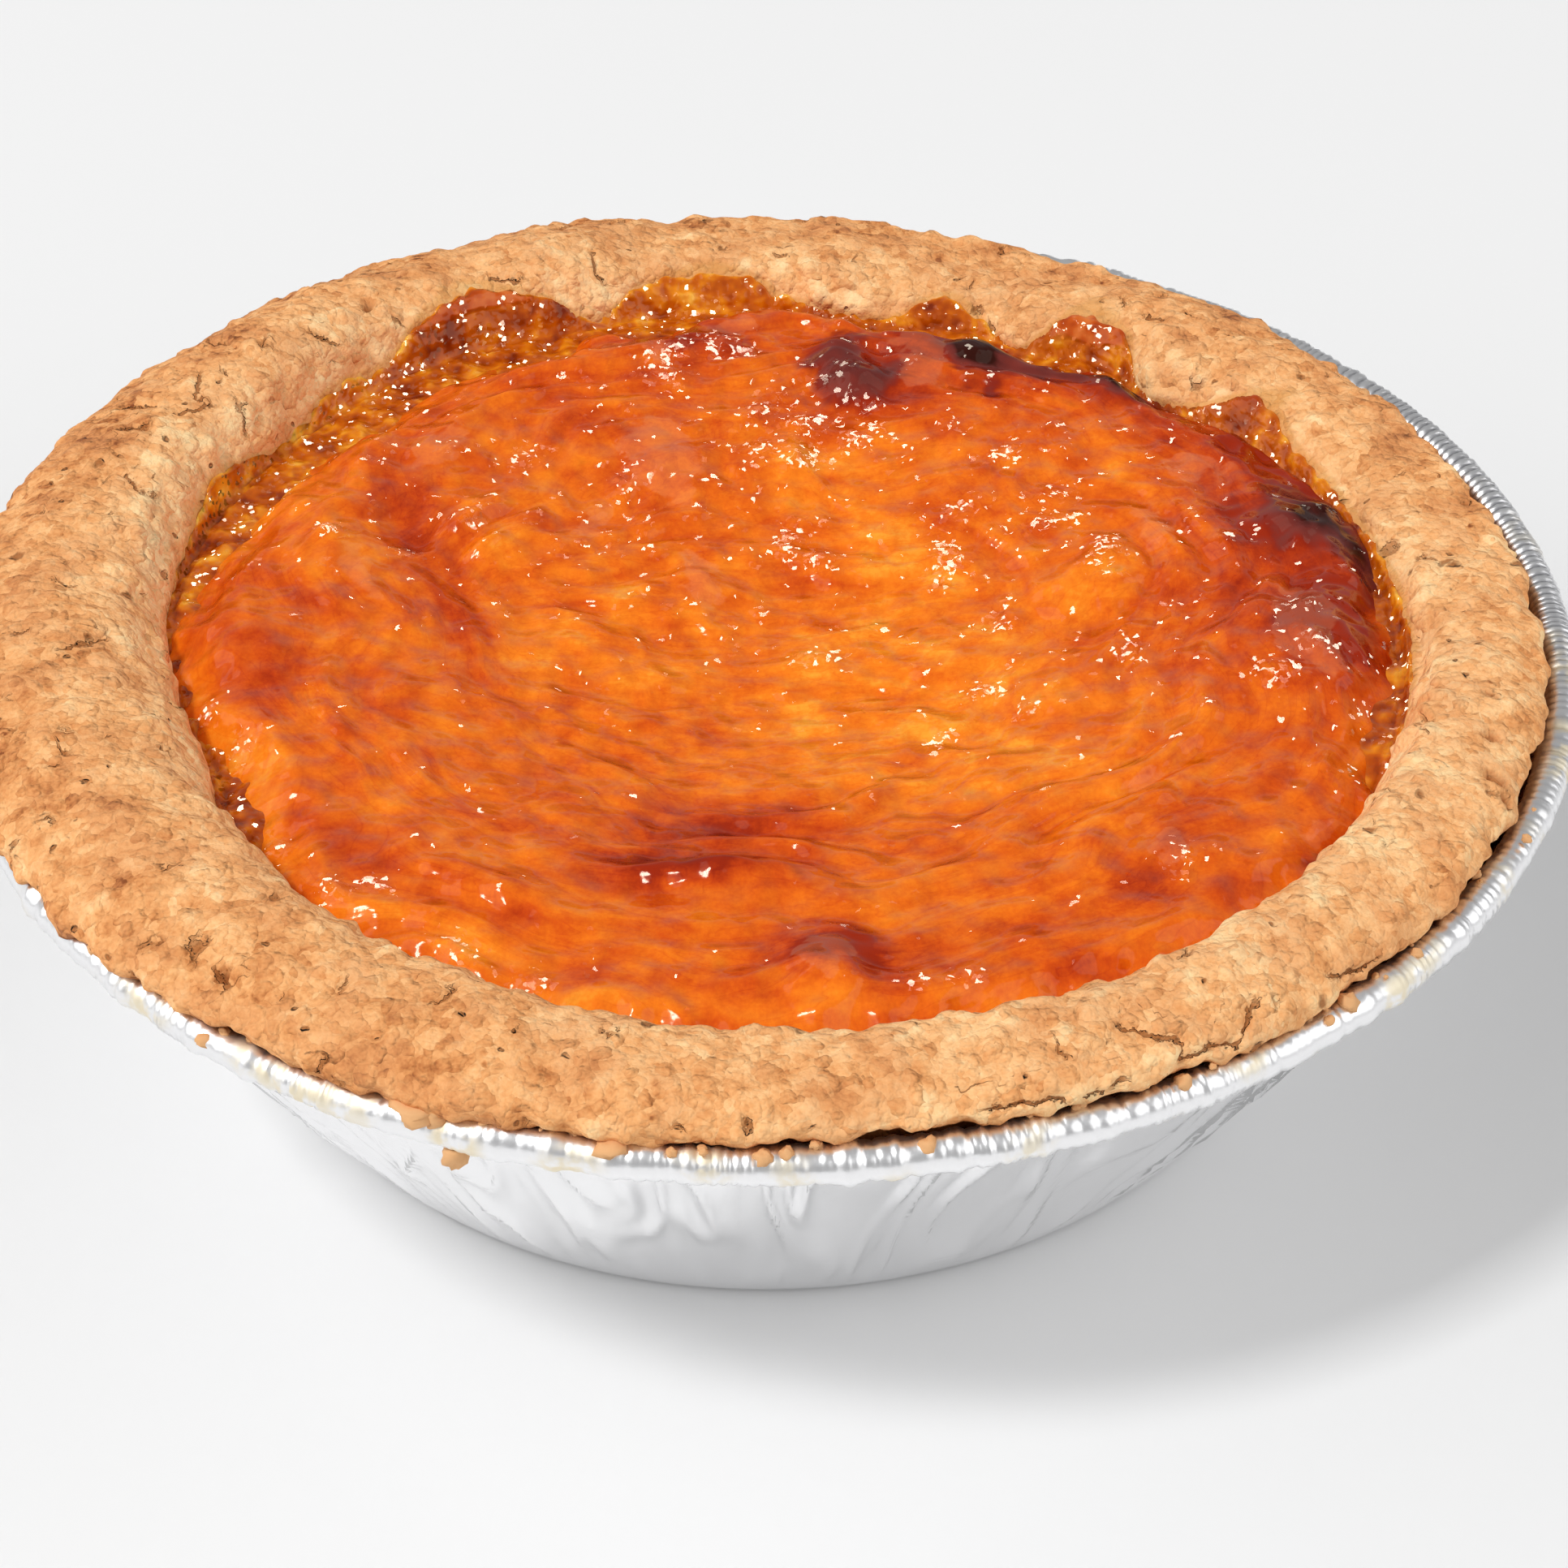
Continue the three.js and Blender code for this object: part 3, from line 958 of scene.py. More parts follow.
# Rises and hollows, in millimetres
SWELLINGS = [
    (5.2, 22.9, 20, 1.6, 1.5, 1.2),  # pair of dark bubbles at the back
    (4.3, 25.7, 100, 1.7, 1.4, 1.0),
    (12.0, 25.3, 0, 1.6, 1.2, 0.9),  # black bubble beside them
    (8.8, 24.6, 90, 3.0, 1.6, 0.5),
    (19.8, 22.0, 100, 1.6, 1.2, 0.4),
    (31.2, 7.2, 105, 3.2, 1.7, 0.8),  # burnt patch on the right
    (28.6, 6.6, 60, 3.0, 2.2, 0.5),
    (27.6, -3.8, 90, 4.6, 3.2, 1.0),  # smooth red dome
    (-3.5, -21.9, 0, 4.8, 1.2, 0.8),  # browned fold at the front
    (-3.4, -18.0, 10, 4.0, 1.4, -0.3),
    (2.5, -29.4, 90, 2.4, 1.9, 0.7),
    (19.3, -21.0, 30, 2.2, 1.5, 0.4),
    (-22.8, 5.6, -62, 6.5, 2.2, 0.7),
    (-18.0, 7.0, -52, 8.0, 1.6, -0.5),
    (-27.0, -2.5, -50, 4.0, 2.2, 0.5),
    (-6.0, 16.0, -75, 4.4, 2.6, 0.5),
    (-3.6, 6.0, 95, 3.0, 1.6, 0.35),
    (-18.4, 16.5, 45, 3.0, 2.4, 0.4),
    (13.0, 12.5, -20, 3.0, 2.0, 0.4),
    (17.5, 4.5, 90, 3.0, 2.0, 0.4),
]

# Darkening from golden towards red-brown; less than 0 is paler and more golden
BROWNING = [
    (9.0, 24.4, 90, 4.6, 3.6, 0.22),
    (8.6, 27.8, 0, 4.0, 2.2, 0.46),
    (2.4, 25.4, 90, 1.6, 1.0, 0.30),
    (5.2, 22.0, 0, 1.8, 0.9, 0.20),
    (5.8, 21.3, 0, 2.6, 1.1, 0.20),
    (13.0, 20.9, 95, 2.2, 0.9, 0.22),
    (15.8, 22.6, 60, 2.4, 1.2, 0.16),
    (17.6, 23.4, -28, 4.2, 1.9, 0.62),
    (3.0, 30.2, -6, 9.0, 1.2, 0.24),
    (-4.4, 26.0, 0, 1.5, 1.1, 0.18),
    (-13.2, 22.6, -50, 4.8, 1.4, 0.14),
    (-19.5, 18.0, -60, 3.6, 2.3, 0.12),
    (-5.5, 21.5, -45, 5.0, 0.9, 0.10),
    (-20.6, 10.5, -45, 4.6, 2.6, 0.16),
    (-18.2, 7.4, -60, 4.6, 1.9, 0.22),
    (-15.8, -0.4, -73, 4.2, 0.9, 0.24),
    (-13.0, -1.4, -60, 4.4, 1.3, -0.16),
    (-13.6, 6.4, 20, 2.4, 1.4, -0.14),
    (-23.2, -0.2, -60, 2.4, 1.2, 0.12),
    (-22.5, 15.4, -50, 1.9, 1.2, 0.14),
    (-9.5, 17.0, -60, 3.6, 1.6, 0.10),
    (-5.4, 27.4, 0, 3.4, 1.9, 0.46),
    (-11.0, 22.4, -40, 3.0, 1.4, 0.10),
    (-27.2, -3.2, -40, 4.6, 2.6, 0.17),
    (-25.6, -7.2, -75, 3.2, 1.5, 0.13),
    (-25.2, 3.4, -58, 4.2, 0.9, 0.15),
    (-2.8, -16.4, 8, 3.4, 2.4, 0.34),
    (-3.2, -21.4, 0, 4.2, 1.4, 0.46),
    (-3.0, -22.8, 0, 4.8, 0.9, 0.16),
    (-2.4, -19.0, 0, 5.2, 4.2, 0.14),
    (4.6, -29.2, -60, 2.8, 1.2, 0.26),
    (2.8, -28.6, 0, 2.6, 1.7, 0.54),
    (-2.0, -32.6, 0, 6.0, 1.0, -0.16),
    (-10.6, -30.4, -20, 2.4, 1.2, -0.10),
    (19.4, -20.4, 60, 2.4, 1.2, 0.22),
    (-18.6, -21.8, -50, 4.6, 1.7, 0.20),
    (-7.8, -29.6, -15, 3.0, 1.1, 0.22),
    (16.0, -28.8, 25, 2.8, 1.0, 0.18),
    (13.5, -26.0, 20, 4.2, 1.0, 0.14),
    (18.4, -24.0, -30, 1.8, 1.5, 0.20),
    (26.6, -20.9, 40, 2.3, 0.9, 0.24),
    (22.2, -24.6, 30, 2.0, 0.9, 0.16),
    (24.0, -15.5, 60, 5.0, 1.6, 0.12),
    (28.2, -2.0, 90, 6.6, 3.8, 0.44),
    (24.0, -2.6, 90, 6.0, 1.4, 0.20),
    (30.6, -0.8, 95, 5.0, 1.9, 0.34),
    (28.8, 8.2, 90, 4.0, 4.2, 0.36),
    (25.4, 5.8, 90, 3.0, 1.0, 0.24),
    (29.2, 0.2, 90, 1.8, 1.2, 0.36),
    (30.6, -3.2, 100, 2.4, 1.2, 0.34),
    (28.0, 13.6, -62, 6.4, 2.6, 0.40),
    (27.8, 17.6, -60, 4.0, 1.6, 0.20),
    (24.2, 16.6, -45, 4.8, 2.4, 0.18),
    (23.0, 11.6, -20, 3.6, 2.2, 0.12),
    (11.0, 10.5, -10, 4.5, 2.0, 0.06),
    (21.5, 3.5, 95, 7.0, 2.0, 0.08),
    (2.0, 25.0, 0, 17.0, 6.5, 0.07),
    (0.0, -22.0, 0, 18.0, 7.0, 0.06),
    (5.0, -5.0, 10, 9.0, 6.5, -0.22),
    (5.6, 12.0, -65, 6.0, 2.8, -0.18),
    (10.0, 4.0, 80, 7.0, 5.0, -0.08),
    (19.0, 12.5, 60, 3.0, 1.3, -0.10),
    (-7.2, 2.0, -70, 4.0, 2.0, -0.18),
    (1.5, 4.6, 0, 3.0, 1.8, -0.08),
    (14.4, -13.0, -20, 7.0, 3.4, -0.17),
    (4.4, -20.8, -30, 4.4, 2.4, -0.16),
    (2.4, -24.6, 0, 3.4, 1.1, -0.10),
    (26.0, -7.6, 0, 2.0, 1.0, -0.12),
    (-23.2, 8.0, -62, 6.0, 1.8, -0.20),
    (-27.0, -11.4, -60, 2.6, 1.2, -0.12),
    (-14.2, -27.4, -30, 5.0, 1.8, -0.20),
    (9.5, -13.0, 0, 5.0, 3.0, -0.06),
    (-15.5, 25.0, -20, 3.0, 0.9, -0.10),
]

# Caught places: the more, the nearer to black
BURNS = [
    (5.2, 22.9, 20, 2.3, 1.8, 0.62),
    (4.0, 25.7, 100, 2.2, 1.7, 0.64),
    (6.9, 23.8, 90, 1.5, 0.9, 0.40),
    (5.6, 21.6, 0, 1.9, 0.8, 0.22),
    (11.8, 25.8, 0, 1.7, 1.1, 1.10),
    (12.6, 23.6, 95, 2.0, 1.3, 0.46),
    (13.2, 21.4, 95, 1.4, 0.5, 0.26),
    (9.0, 25.2, 90, 3.0, 3.4, 0.13),
    (19.9, 22.0, 100, 1.8, 1.0, 0.40),
    (15.0, 24.2, -15, 2.6, 1.2, 0.62),
    (18.8, 22.9, -32, 3.0, 1.5, 0.66),
    (23.8, 19.2, -45, 3.2, 0.8, 0.24),
    (31.2, 6.4, 105, 4.0, 2.3, 0.48),
    (20.6, 22.4, -70, 2.4, 1.1, 0.50),
    (29.0, 7.6, 60, 3.8, 2.5, 0.70),
    (32.2, 3.4, 95, 3.0, 1.1, 0.50),
    (28.6, 11.4, -50, 3.0, 1.2, 0.24),
    (31.4, -3.4, 100, 4.6, 1.1, 0.26),
    (-3.0, -21.6, 0, 3.8, 1.2, 0.34),
    (4.8, -29.4, -60, 2.4, 0.8, 0.20),
    (26.6, -20.9, 40, 2.0, 0.7, 0.22),
]

# Wet, crumpled places that catch the lamp; less than 0 is dry
GLEAMS = [
    (-0.1, 20.9, 60, 1.5, 0.8, 1.0),
    (-0.6, 17.2, 40, 0.9, 0.7, 0.8),
    (2.3, 19.4, 20, 1.5, 0.9, 1.0),
    (2.0, 16.6, 30, 1.4, 1.0, 1.0),
    (5.4, 17.9, 30, 1.3, 1.0, 0.9),
    (3.8, 23.2, 20, 1.3, 0.8, 1.0),
    (5.4, 21.0, 0, 0.8, 0.6, 0.8),
    (1.2, 9.6, 60, 1.2, 0.8, 0.9),
    (3.0, 7.8, 0, 1.2, 0.8, 0.9),
    (9.8, 7.0, 80, 1.6, 0.9, 1.0),
    (10.4, 10.9, 30, 1.4, 0.8, 1.0),
    (10.4, 18.4, 0, 0.7, 0.6, 0.7),
    (13.5, 15.8, 10, 1.6, 0.7, 0.9),
    (16.0, 11.8, 20, 1.2, 0.8, 0.9),
    (14.8, 9.2, 40, 1.0, 0.7, 0.8),
    (16.9, 9.4, 60, 0.9, 0.6, 0.8),
    (18.2, 5.3, 80, 1.7, 0.9, 1.0),
    (16.4, 18.0, 60, 0.9, 0.6, 0.7),
    (12.4, 1.1, 0, 0.9, 0.6, 0.9),
    (11.3, -4.3, -30, 1.2, 0.6, 0.9),
    (13.4, -7.0, 20, 0.9, 0.5, 0.7),
    (2.6, -0.6, 20, 1.3, 0.6, 0.8),
    (19.1, -3.0, 90, 1.8, 0.6, 0.8),
    (23.1, 7.8, 60, 1.0, 0.6, 0.8),
    (-6.2, 24.2, -60, 1.8, 1.0, 1.0),
    (-5.0, 26.2, 40, 1.1, 0.8, 0.9),
    (-2.6, 26.6, 60, 1.1, 0.8, 0.8),
    (-1.4, 26.0, 60, 1.0, 0.7, 0.8),
    (-13.9, 15.9, 70, 1.0, 0.8, 0.8),
    (-7.9, 13.7, 70, 1.2, 0.8, 0.8),
    (-16.4, 9.6, 20, 0.9, 0.7, 0.7),
    (-19.4, 6.6, 0, 0.9, 0.6, 0.8),
    (-24.0, 6.8, 60, 0.8, 0.6, 0.8),
    (27.5, -2.0, 0, 1.1, 0.8, 0.9),
    (28.4, -5.2, 0, 1.1, 0.8, 0.9),
    (26.0, -7.4, -20, 1.4, 0.9, 1.0),
    (30.9, -9.4, 80, 1.2, 0.7, 0.9),
    (30.6, 8.2, 40, 1.0, 0.7, 0.7),
    (19.8, -22.0, 60, 1.1, 0.7, 0.9),
    (8.8, -8.6, 60, 0.9, 0.6, 0.7),
    (-26.6, -11.0, 60, 1.0, 0.7, 1.0),
    (-28.6, -8.0, 60, 0.9, 0.6, 0.9),
    (-24.0, -19.0, -50, 1.0, 0.6, 1.0),
    (-20.9, -23.5, -50, 0.9, 0.6, 0.9),
    (-18.9, -23.4, -40, 0.9, 0.6, 0.9),
    (-14.5, -28.0, -30, 1.2, 0.7, 1.0),
    (-11.0, -30.3, -20, 0.9, 0.6, 0.9),
    (6.9, -31.0, 0, 0.8, 0.5, 0.9),
    (9.3, -30.5, 10, 0.8, 0.5, 0.9),
    (-3.4, -21.6, 0, 4.0, 1.4, -0.3),
]

# Smooth, level, paler places: partly the film's own colour and partly a painted sheen
FILMS_AND_SHEEN = [
    (-6.0, 16.2, -75, 4.4, 2.5, 1.0),
    (-3.6, 6.0, 95, 2.8, 1.3, 0.9),
    (-18.4, 16.0, 45, 2.4, 2.0, 0.8),
    (8.8, 25.0, 90, 3.0, 1.7, 0.9),
    (28.0, -3.6, 90, 4.6, 2.1, 1.0),
    (6.5, 29.4, -8, 4.2, 0.8, 0.8),
    (2.6, -29.4, 100, 2.0, 1.1, 0.9),
    (19.2, -21.3, 60, 1.4, 0.9, 0.8),
    (27.2, -18.8, 40, 1.8, 0.8, 0.9),
    (19.0, -15.3, 50, 1.8, 1.0, 0.8),
    (-7.5, 26.4, -35, 2.8, 1.3, 0.8),
    (23.6, 13.4, -10, 2.6, 1.5, 0.8),
    (21.0, 7.5, 80, 2.4, 1.2, 0.7),
    (-2.0, 28.6, 10, 2.2, 1.0, 0.7),
    (-22.2, 3.4, -60, 2.8, 1.2, 0.7),
    (-9.5, 10.6, 60, 2.2, 1.3, 0.7),
]


def ovals(x, y, places, sharpness=1.0):
    """Sum of soft ovals, each given as x, y, heading, half length, half width and amount."""
    total = 0.0 * x
    for middle_x, middle_y, heading, length, width, amount in places:
        lead = math.radians(heading)
        along = (x - middle_x) * math.cos(lead) + (y - middle_y) * math.sin(lead)
        aside = (y - middle_y) * math.cos(lead) - (x - middle_x) * math.sin(lead)
        away = (along / length) ** 2 + (aside / width) ** 2
        total += amount * np.exp(-(away**sharpness))
    return total


def bowl_share(x, y, ring):
    """0 at the bottom of the sunken middle, which lies off centre, and 1 on the ring round it."""
    middle_x, middle_y = BOWL_MIDDLE
    out_x, out_y = x - middle_x, y - middle_y
    lean = out_x * middle_x + out_y * middle_y
    spare = ring**2 - middle_x**2 - middle_y**2
    return (lean + np.sqrt(lean**2 + spare * (out_x**2 + out_y**2))) / spare


def terraced(level):
    """Levels joined by short steep steps, one to each whole number."""
    whole = np.floor(level)
    return whole + smooth(0.15, 0.85, level - whole)


def square_to_disc(side):
    """A square grid of points bent into a disc of radius 1, with cells of equal area."""
    line = np.linspace(-1, 1, side + 1)
    a, b = np.meshgrid(line + 1e-9, line + 2e-9)  # kept off 0, as one is divided by the other
    wide = np.abs(a) > np.abs(b)
    radius = np.where(wide, a, b)
    turn = np.where(wide, b, a) / radius * np.pi / 4
    angle = np.where(wide, turn, np.pi / 2 - turn)
    return radius * np.cos(angle), radius * np.sin(angle)


def skin_flow(flat):
    """Coordinates for the grain round the ring and for that of the middle, and where the ring's holds."""
    bend = np.stack([noise(flat / 8.0, 81), noise(flat / 8.0, 82), 0 * flat[..., 0]], -1) * 3.2
    bent = flat + bend
    bent_radius = np.hypot(bent[..., 0], bent[..., 1])
    heading = bent[..., :2] / np.maximum(bent_radius, 1.0)[..., None]
    ring_flow = np.concatenate([heading * 4.5, bent_radius[..., None] / 1.6], -1)
    level_flow = [bent[..., 0] / 4.0, bent[..., 1] / 1.7, 0 * bent_radius + 50.0]
    return ring_flow, np.stack(level_flow, -1), smooth(9.0, 17.0, bent_radius)


def skin_bowl(x, y, azimuth):
    """Height of the smooth skin: a puffed ring round a sunken middle."""
    ring = RING_RADIUS + 0.9 * noise(turned_points(3.0, 0.0, azimuth), 86)
    ring_top = RING_HEIGHT + 0.35 * noise(turned_points(2.5, 4.0, azimuth), 87)
    return mix(MIDDLE_HEIGHT, ring_top, smooth(0.1, 1.0, bowl_share(x, y, ring)))


def skin_colours(flat, beyond, swelling):
    """Tone, caught places, pale films with a painted sheen, and wet places of the skin."""
    x, y = flat[..., 0], flat[..., 1]

    # Spots are placed on wandering coordinates, which makes their outlines ragged
    stray_x = x + 0.9 * noise(flat / 2.6, 101) + 0.4 * noise(flat / 0.9, 103)
    stray_y = y + 0.9 * noise(flat / 2.6, 102) + 0.4 * noise(flat / 0.9, 104)
    at_back = facing(np.degrees(np.arctan2(y, x)), 55.0, 40.0)
    edge_tone = (0.12 - 0.42 * at_back) * smooth(-2.2, -0.4, beyond)
    tone = 0.54 + swelling + 0.20 * noise(flat / 4.5, 96) + edge_tone
    return {
        "tone": tone - 1.15 * ovals(stray_x, stray_y, BROWNING),
        "burnt": ovals(stray_x, stray_y, BURNS),
        "milky": ovals(stray_x, stray_y, FILMS_AND_SHEEN, sharpness=1.6),
        "gleam": ovals(x, y, GLEAMS),
    }


def close_skin(skin):
    """Points and faces of the skin and of the hidden sides and base under it."""
    side = SKIN_SIDE + 1
    points = skin.reshape(-1, 3)
    faces = grid_faces(side, side, columns_meet=False)
    border = list(range(side)) + [i * side + side - 1 for i in range(1, side)]
    border += list(range(side * side - 2, side * (side - 1) - 1, -1))
    border += [i * side for i in range(side - 2, 0, -1)]
    count = len(border)
    rim = points[border]
    skirts = [(0.96, 17.0), (0.78, FILLING_FLOOR)]  # share of the rim's radius, height
    rings = [np.column_stack([rim[:, :2] * share, np.full(count, z)]) for share, z in skirts]
    first = len(points)
    points = np.vstack([points, *rings, [[0, 0, FILLING_FLOOR]]])
    for a in range(count):
        b = (a + 1) % count
        faces.append((border[b], border[a], first + a, first + b))
        faces.append((first + b, first + a, first + count + a, first + count + b))
    faces += cap_faces(first + count, count, first + 2 * count, False)
    return points, faces


def make_skin():
    """The filling: wrinkled skin with folds and blisters, closed by plain sides and base."""
    x, y = square_to_disc(SKIN_SIDE)
    x, y = x * SKIN_MESH_RADIUS, y * SKIN_MESH_RADIUS
    azimuth = np.degrees(np.arctan2(y, x))
    flat = np.stack([x, y, 0 * x], -1)
    ring_flow, level_flow, ringed = skin_flow(flat)
    wide = mix(puffs(level_flow * 0.45, 83), puffs(ring_flow * 0.45, 83), ringed)
    narrow = mix(puffs(level_flow * 1.1, 84), puffs(ring_flow * 1.1, 84), ringed)

    # The skin rounds off at its ragged edge and dips under the syrup
    edge = round_the_rim(azimuth, SKIN_RADII) + 0.5 * noise(turned_points(9.0, 1.0, azimuth), 88)
    beyond = np.hypot(x, y) - edge - 0.5 * noise(flat / 1.6, 89)
    shoulder = 1.5 * smooth(-3.2, 0.4, beyond) + 1.6 * smooth(-0.4, 1.4, beyond)

    # Crumpled lower skin lies in level plates with steps between them
    swollen = skin_bowl(x, y, azimuth) + 0.30 * noise(flat / 7.0, 93) + 0.55 * (wide - 0.5)
    swollen = swollen + ovals(x, y, SWELLINGS, sharpness=1.3)
    terrace = swollen / PLATE_STEP + 0.16 * noise(flat / 1.3, 95)
    behind = smooth(-14.0, 6.0, y + 0.35 * x)
    rough = mix(0.22, 1.0, behind) * mix(0.35, 1.0, smooth(-0.2, 0.3, noise(flat / 4.0, 92)))
    height = mix(swollen, terraced(terrace) * PLATE_STEP, 0.2)
    height = height + mix(0.10, 0.20, rough) * narrow + 0.12 * rough * noise(flat / 1.0, 94)
    height = height + 0.16 * ovals(x, y, GLEAMS, sharpness=1.2) - shoulder

    points, faces = close_skin(np.stack([x, y, height], -1))
    extra = len(points) - x.size
    values = skin_colours(flat, beyond, 0.09 * wide + 0.07 * narrow)
    values |= {"rough": rough, "terrace": terrace, "ringed": ringed}
    values = {label: np.append(value.ravel(), np.full(extra, 0.5)) for label, value in values.items()}
    filling = make_piece("sweet_potato_filling", points, faces, values)
    layer = filling.data.attributes.new("flow", "FLOAT_VECTOR", "POINT")
    flow = np.append(ring_flow.ravel(), np.zeros(3 * extra))
    layer.data.foreach_set("vector", flow.astype(np.float32))
    filling.data.materials.append(skin_finish())
    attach(filling, "root")
    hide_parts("filling")


# ------------------------------------------------------------------------------------- syrup
SYRUP_COLUMNS = 1450
SYRUP_ROWS = 60
SYRUP_INSIDE = 27.4  # radius, under the filling's skin
SYRUP_OUTSIDE = 36.8  # radius, about where the rim's crest is
POOL_BLEND = 0.22  # how softly the pool runs into the film that climbs the crust

# Height to which the syrup climbs the crust: azimuth, height
SYRUP_HEIGHTS = [
    (0, 22.4), (10, 22.4), (18, 22.4), (27, 22.7), (33, 23.6), (36, 23.5),
    (39, 22.4), (44, 21.9), (48, 21.7), (50, 23.1), (51.5, 23.7), (58.5, 23.7),
    (60.5, 22.7), (61, 21.4), (65, 21.6), (69, 22.9), (73, 23.2), (76, 22.0),
    (80, 21.9), (84, 22.3), (88, 22.3), (91, 23.4), (96, 23.7), (100, 23.4),
    (104, 23.4), (106, 22.4), (109, 22.2), (112, 23.8), (118, 24.6), (124, 24.7),
    (128, 23.9), (131, 22.8), (134, 22.9), (138, 23.2), (141, 22.9), (144, 22.1),
    (148, 21.9), (152, 22.8), (158, 23.5), (164, 22.9), (172, 21.9), (180, 21.5),
    (188, 21.2), (197, 21.3), (204, 21.1), (210, 21.7), (218, 21.3), (225, 20.5),
    (335, 20.5), (340, 22.2), (348, 22.3),
]


def crust_face(radius, azimuth):
    """Height of the crust's inner face at each radius (rows) and azimuth (columns)."""
    face = splined(crust_controls(azimuth), np.linspace(0.0, CREST_STATION, 40))
    columns = [
        np.interp(radius[:, column], np.maximum.accumulate(face[:, column, 0]), face[:, column, 1])
        for column in range(len(azimuth))
    ]
    return np.stack(columns, -1)


def make_syrup():
    """Syrup in the moat beside the skin, and the film of it that climbs the crust."""
    azimuth = np.arange(SYRUP_COLUMNS) * 360.0 / SYRUP_COLUMNS
    share = np.linspace(0.0, 1.0, SYRUP_ROWS)[:, None]
    radius = mix(SYRUP_INSIDE, SYRUP_OUTSIDE, share) + 0.0 * azimuth
    flat = turned_points(radius, 0.0, azimuth)
    climb = round_the_rim(azimuth, SYRUP_HEIGHTS) + 0.0 * radius
    climb = climb + 0.30 * noise(flat / 1.8, 111) + 0.17 * noise(flat / 0.8, 112)

    # A film lies where the syrup stands above the crust's face, and none passes the crest
    face = crust_face(radius, azimuth)
    crest = crust_controls(azimuth)[CREST_STATION, :, 0]
    lifted = climb - face - smooth(-0.8, 0.0, radius - crest)
    film = mix(-0.9, 0.34, smooth(-0.5, 0.3, lifted))

    # Pool and film run together, lumpy below and smoother where the film lies on the crust
    pool = np.minimum(SYRUP_LEVEL, climb + 0.2) + 0.26 * noise(flat / 2.2, 113)
    surface = np.logaddexp(pool / POOL_BLEND, (face + film) / POOL_BLEND) * POOL_BLEND
    inside = turned_points(radius, face, azimuth)
    lumps = 0.24 * noise(inside / 1.4, 114) + 0.05 * noise(inside / 0.7, 115)
    over_crust = smooth(22.6, 23.6, face)
    surface = surface + lumps * (1.0 - 0.75 * over_crust)

    # The film is paler where it is thin, and caramelised high up and at the back
    at_back = facing(azimuth, 55.0, 5.0) + 0.6 * facing(azimuth, 35.0, 5.0)
    thin = smooth(0.45, 0.05, lifted) * smooth(21.8, 22.6, face) * (1.0 - 0.9 * at_back)
    at_left = facing(azimuth, 145.0, 16.0) - 0.4 * facing(azimuth, 208.0, 9.0)
    # amber rises on the tops of the lumps, where the finish paints pale yellow glints
    amber = 0.42 + 0.26 * noise(inside / 2.6, 116) + 0.30 * thin + 0.9 * lumps + 0.1 * at_left
    caramel = (smooth(23.0, 24.0, face) + at_back * smooth(22.0, 22.8, face)) * (1.0 - thin)
    points = turned_points(radius, surface, azimuth).reshape(-1, 3)
    faces = grid_faces(SYRUP_ROWS, SYRUP_COLUMNS)
    syrup = make_piece("syrup", points, faces, {"amber": amber, "caramel": caramel})
    syrup.data.materials.append(syrup_finish())
    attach(syrup, "root")
    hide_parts("filling")


# ------------------------------------------------------------------------------------ crumbs
# Bits of pastry on the rolled edge and hanging from it: azimuth, radius, height, width, length
CRUMBS = [
    (250.1, 41.6, 20.2, 0.6, 0.8),
    (232.0, 41.9, 21.9, 0.5, 0.3),
    (247.6, 41.8, 22.5, 1.0, 0.6),
    (248.9, 41.7, 22.4, 0.7, 0.6),
    (260.3, 41.8, 22.4, 0.7, 0.4),
    (269.6, 41.9, 22.3, 0.45, 0.4),
    (271.0, 41.8, 22.4, 0.35, 0.35),
    (279.6, 41.8, 22.3, 0.45, 0.4),
    (296.5, 41.7, 22.4, 0.4, 0.4),
    (309.8, 41.7, 22.4, 0.5, 0.4),
    (220.4, 41.7, 22.5, 0.4, 0.35),
]
CRUMB_SIDE = 12  # points from top to bottom and round
GAP_RADIUS = 41.3  # where fine crumbs lie in the gap between pastry and rolled edge
GAP_HEIGHT = 22.45


def crumb_points(azimuth, radius, height, width, length, seed):
    """A knobbly crumb, as rows of points from its bottom to its top."""
    tilt = np.radians(np.linspace(-85.0, 85.0, CRUMB_SIDE))[:, None]
    turn = np.arange(CRUMB_SIDE)[None, :] * 2.0 * np.pi / CRUMB_SIDE
    ball = [np.cos(tilt) * np.cos(turn), np.cos(tilt) * np.sin(turn), np.sin(tilt) + 0.0 * turn]
    ball = np.stack(ball, -1)
    bulges = 0.6 * noise(ball * 1.1 + 7.0 * seed, 121) + 0.2 * noise(ball * 2.9 + 7.0 * seed, 122)
    ball = ball * (1.0 + bulges)[..., None]
    middle = turned_points(radius, height, azimuth)
    return middle + ball * np.array([width, width, length])


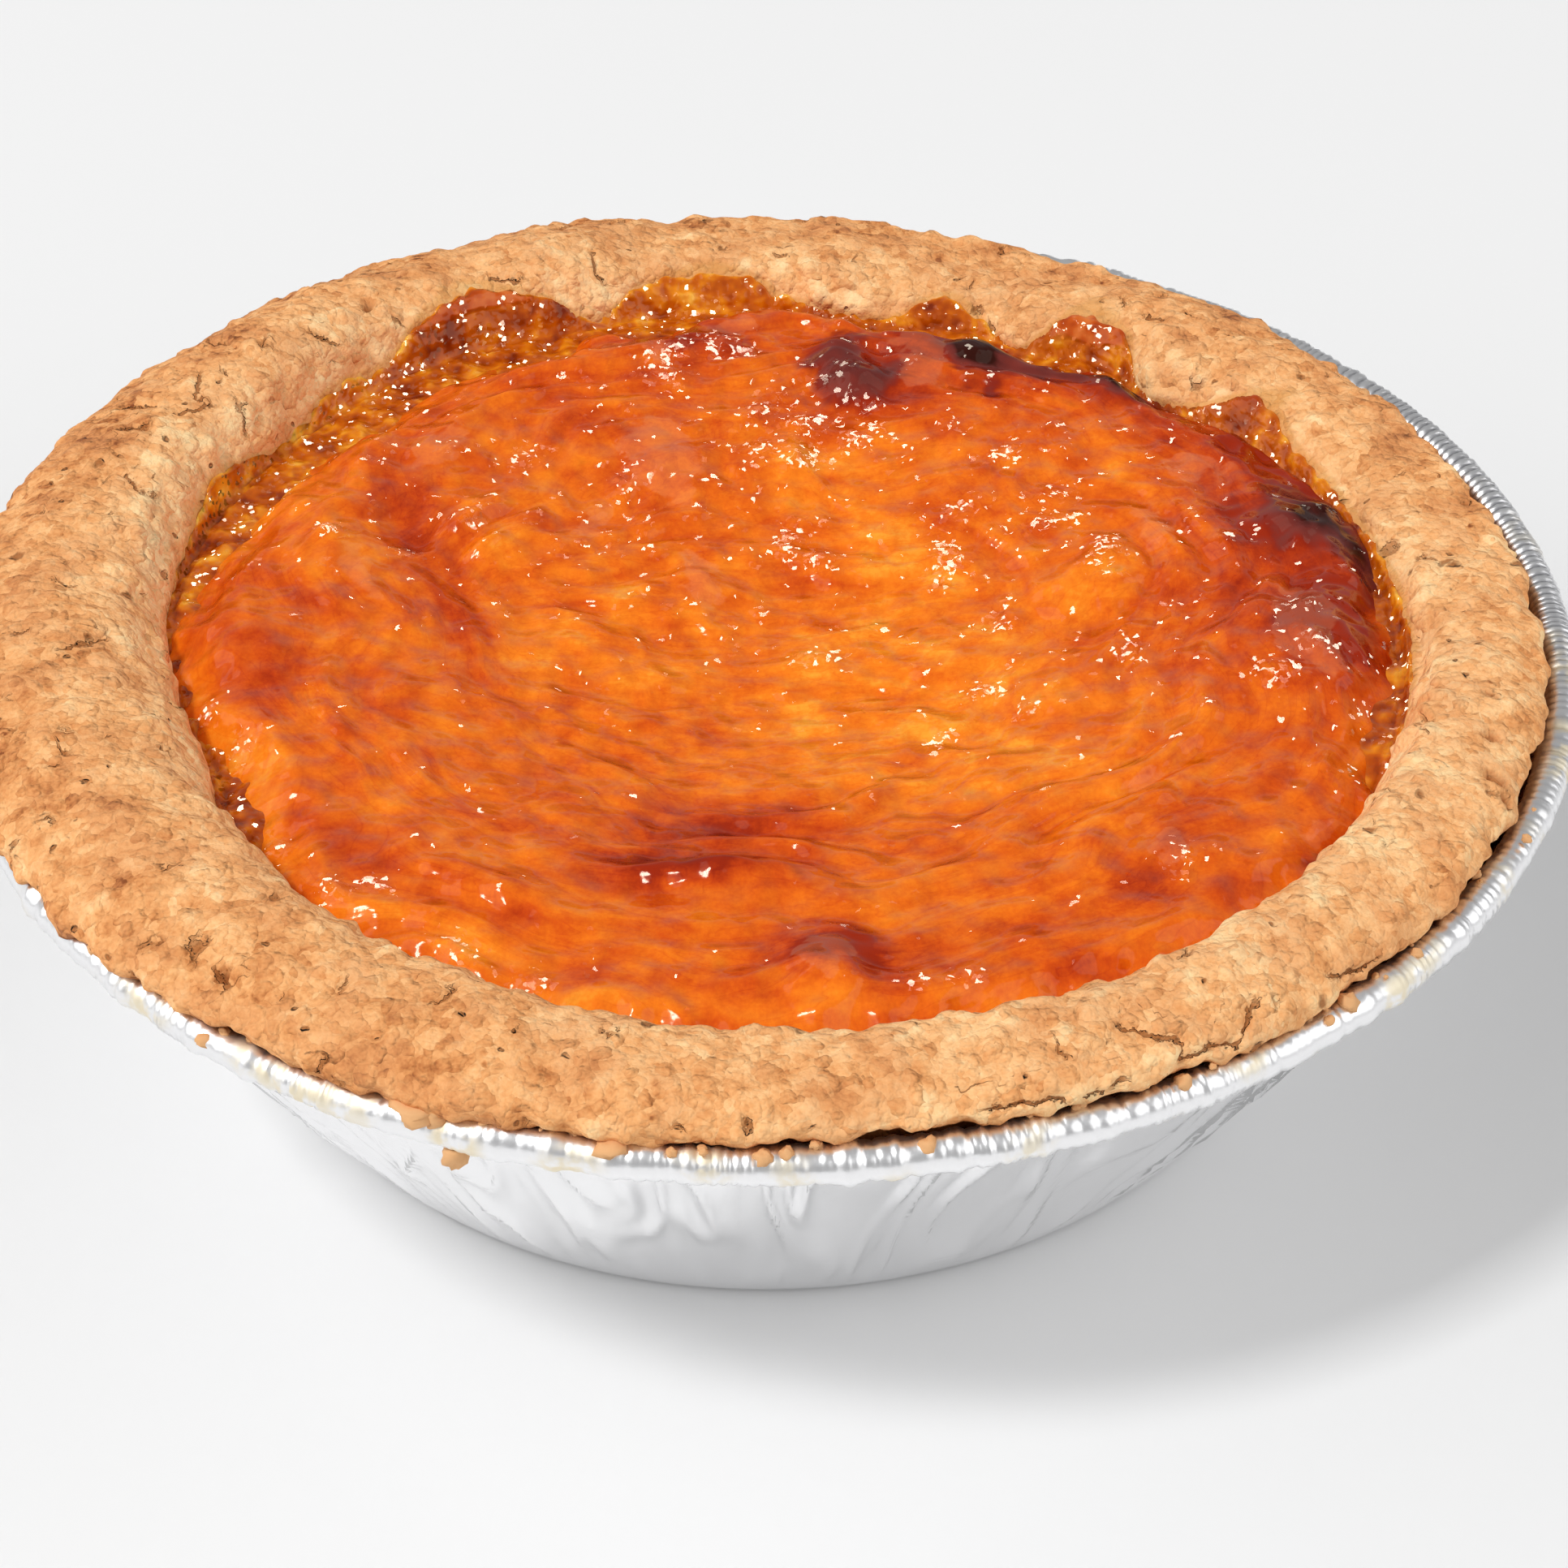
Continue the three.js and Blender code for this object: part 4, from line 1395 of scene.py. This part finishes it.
def make_crumbs():
    """Crumbs caught on the rolled edge, and finer ones scattered along the gap beside it."""
    chance = np.random.default_rng(5)
    scattered = [
        (
            azimuth,
            GAP_RADIUS + chance.normal(0.0, 0.35),
            GAP_HEIGHT + chance.normal(0.0, 0.08),
            size,
            0.8 * size,
        )
        for azimuth, size in zip(chance.uniform(195.0, 335.0, 60), chance.uniform(0.1, 0.3, 60))
    ]
    points, faces = [], []
    for seed, crumb in enumerate(CRUMBS + scattered):
        first = len(points) * CRUMB_SIDE**2
        points.append(crumb_points(*crumb, seed).reshape(-1, 3))
        faces += grid_faces(CRUMB_SIDE, CRUMB_SIDE, first=first)
        faces.append(tuple(first + i for i in reversed(range(CRUMB_SIDE))))
        faces.append(tuple(first + CRUMB_SIDE * (CRUMB_SIDE - 1) + i for i in range(CRUMB_SIDE)))
    points = np.vstack(points)
    count = len(points)
    values = {"bake": np.full(count, 0.1), "crack": np.full(count, 9.0)}
    values["bake"][: CRUMB_SIDE**2] = 0.7  # the first crumb is browner
    crumbs = make_piece("crumbs", points, faces, values)
    crumbs.data.materials.append(bpy.data.materials["crust"])
    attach(crumbs, "root")
    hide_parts("crust")


# ------------------------------------------------------------------------- floor and lights
def make_floor():
    size = 3000.0
    corners = [(-size, -size, 0), (size, -size, 0), (size, size, 0), (-size, size, 0)]
    floor = make_piece("floor", corners, [(0, 1, 2, 3)])
    floor.data.materials.append(floor_finish())


def make_light(name, azimuth, elevation, distance, width, depth, power, tint=(1.0, 1.0, 1.0)):
    """A rectangular lamp that looks at the pie from an azimuth and elevation; metres and watts."""
    data = bpy.data.lights.new(name, "AREA")
    data.shape = "RECTANGLE"
    data.size = width
    data.size_y = depth
    data.energy = power
    data.color = tint
    lamp = bpy.data.objects.new(name, data)
    level = math.cos(math.radians(elevation))
    towards = Vector(
        (
            level * math.cos(math.radians(azimuth)),
            level * math.sin(math.radians(azimuth)),
            math.sin(math.radians(elevation)),
        )
    )
    lamp.location = towards * distance + Vector((0, 0, CREST_HEIGHT * MM))
    lamp.rotation_euler = towards.to_track_quat("Z", "Y").to_euler()
    bpy.context.scene.collection.objects.link(lamp)


def make_studio():
    make_light("key", 211.0, 56.0, 2.0, 0.34, 0.34, 17.0)
    make_light("left", 192.0, 35.0, 2.2, 3.0, 2.0, 21.5)
    make_light("right", 340.0, 33.0, 2.2, 3.0, 2.0, 20.5)
    world = bpy.data.worlds.new("studio")
    world.use_nodes = True
    backdrop = world.node_tree.nodes["Background"]
    backdrop.inputs["Color"].default_value = colour(1.0, 1.0, 1.0)
    backdrop.inputs["Strength"].default_value = 0.36
    bpy.context.scene.world = world
    bpy.context.scene.view_settings.view_transform = "Standard"


# ------------------------------------------------------------------------------------ order
make_camera()
make_tin()
make_crust()
make_skin()
make_syrup()
make_crumbs()
make_floor()
make_studio()
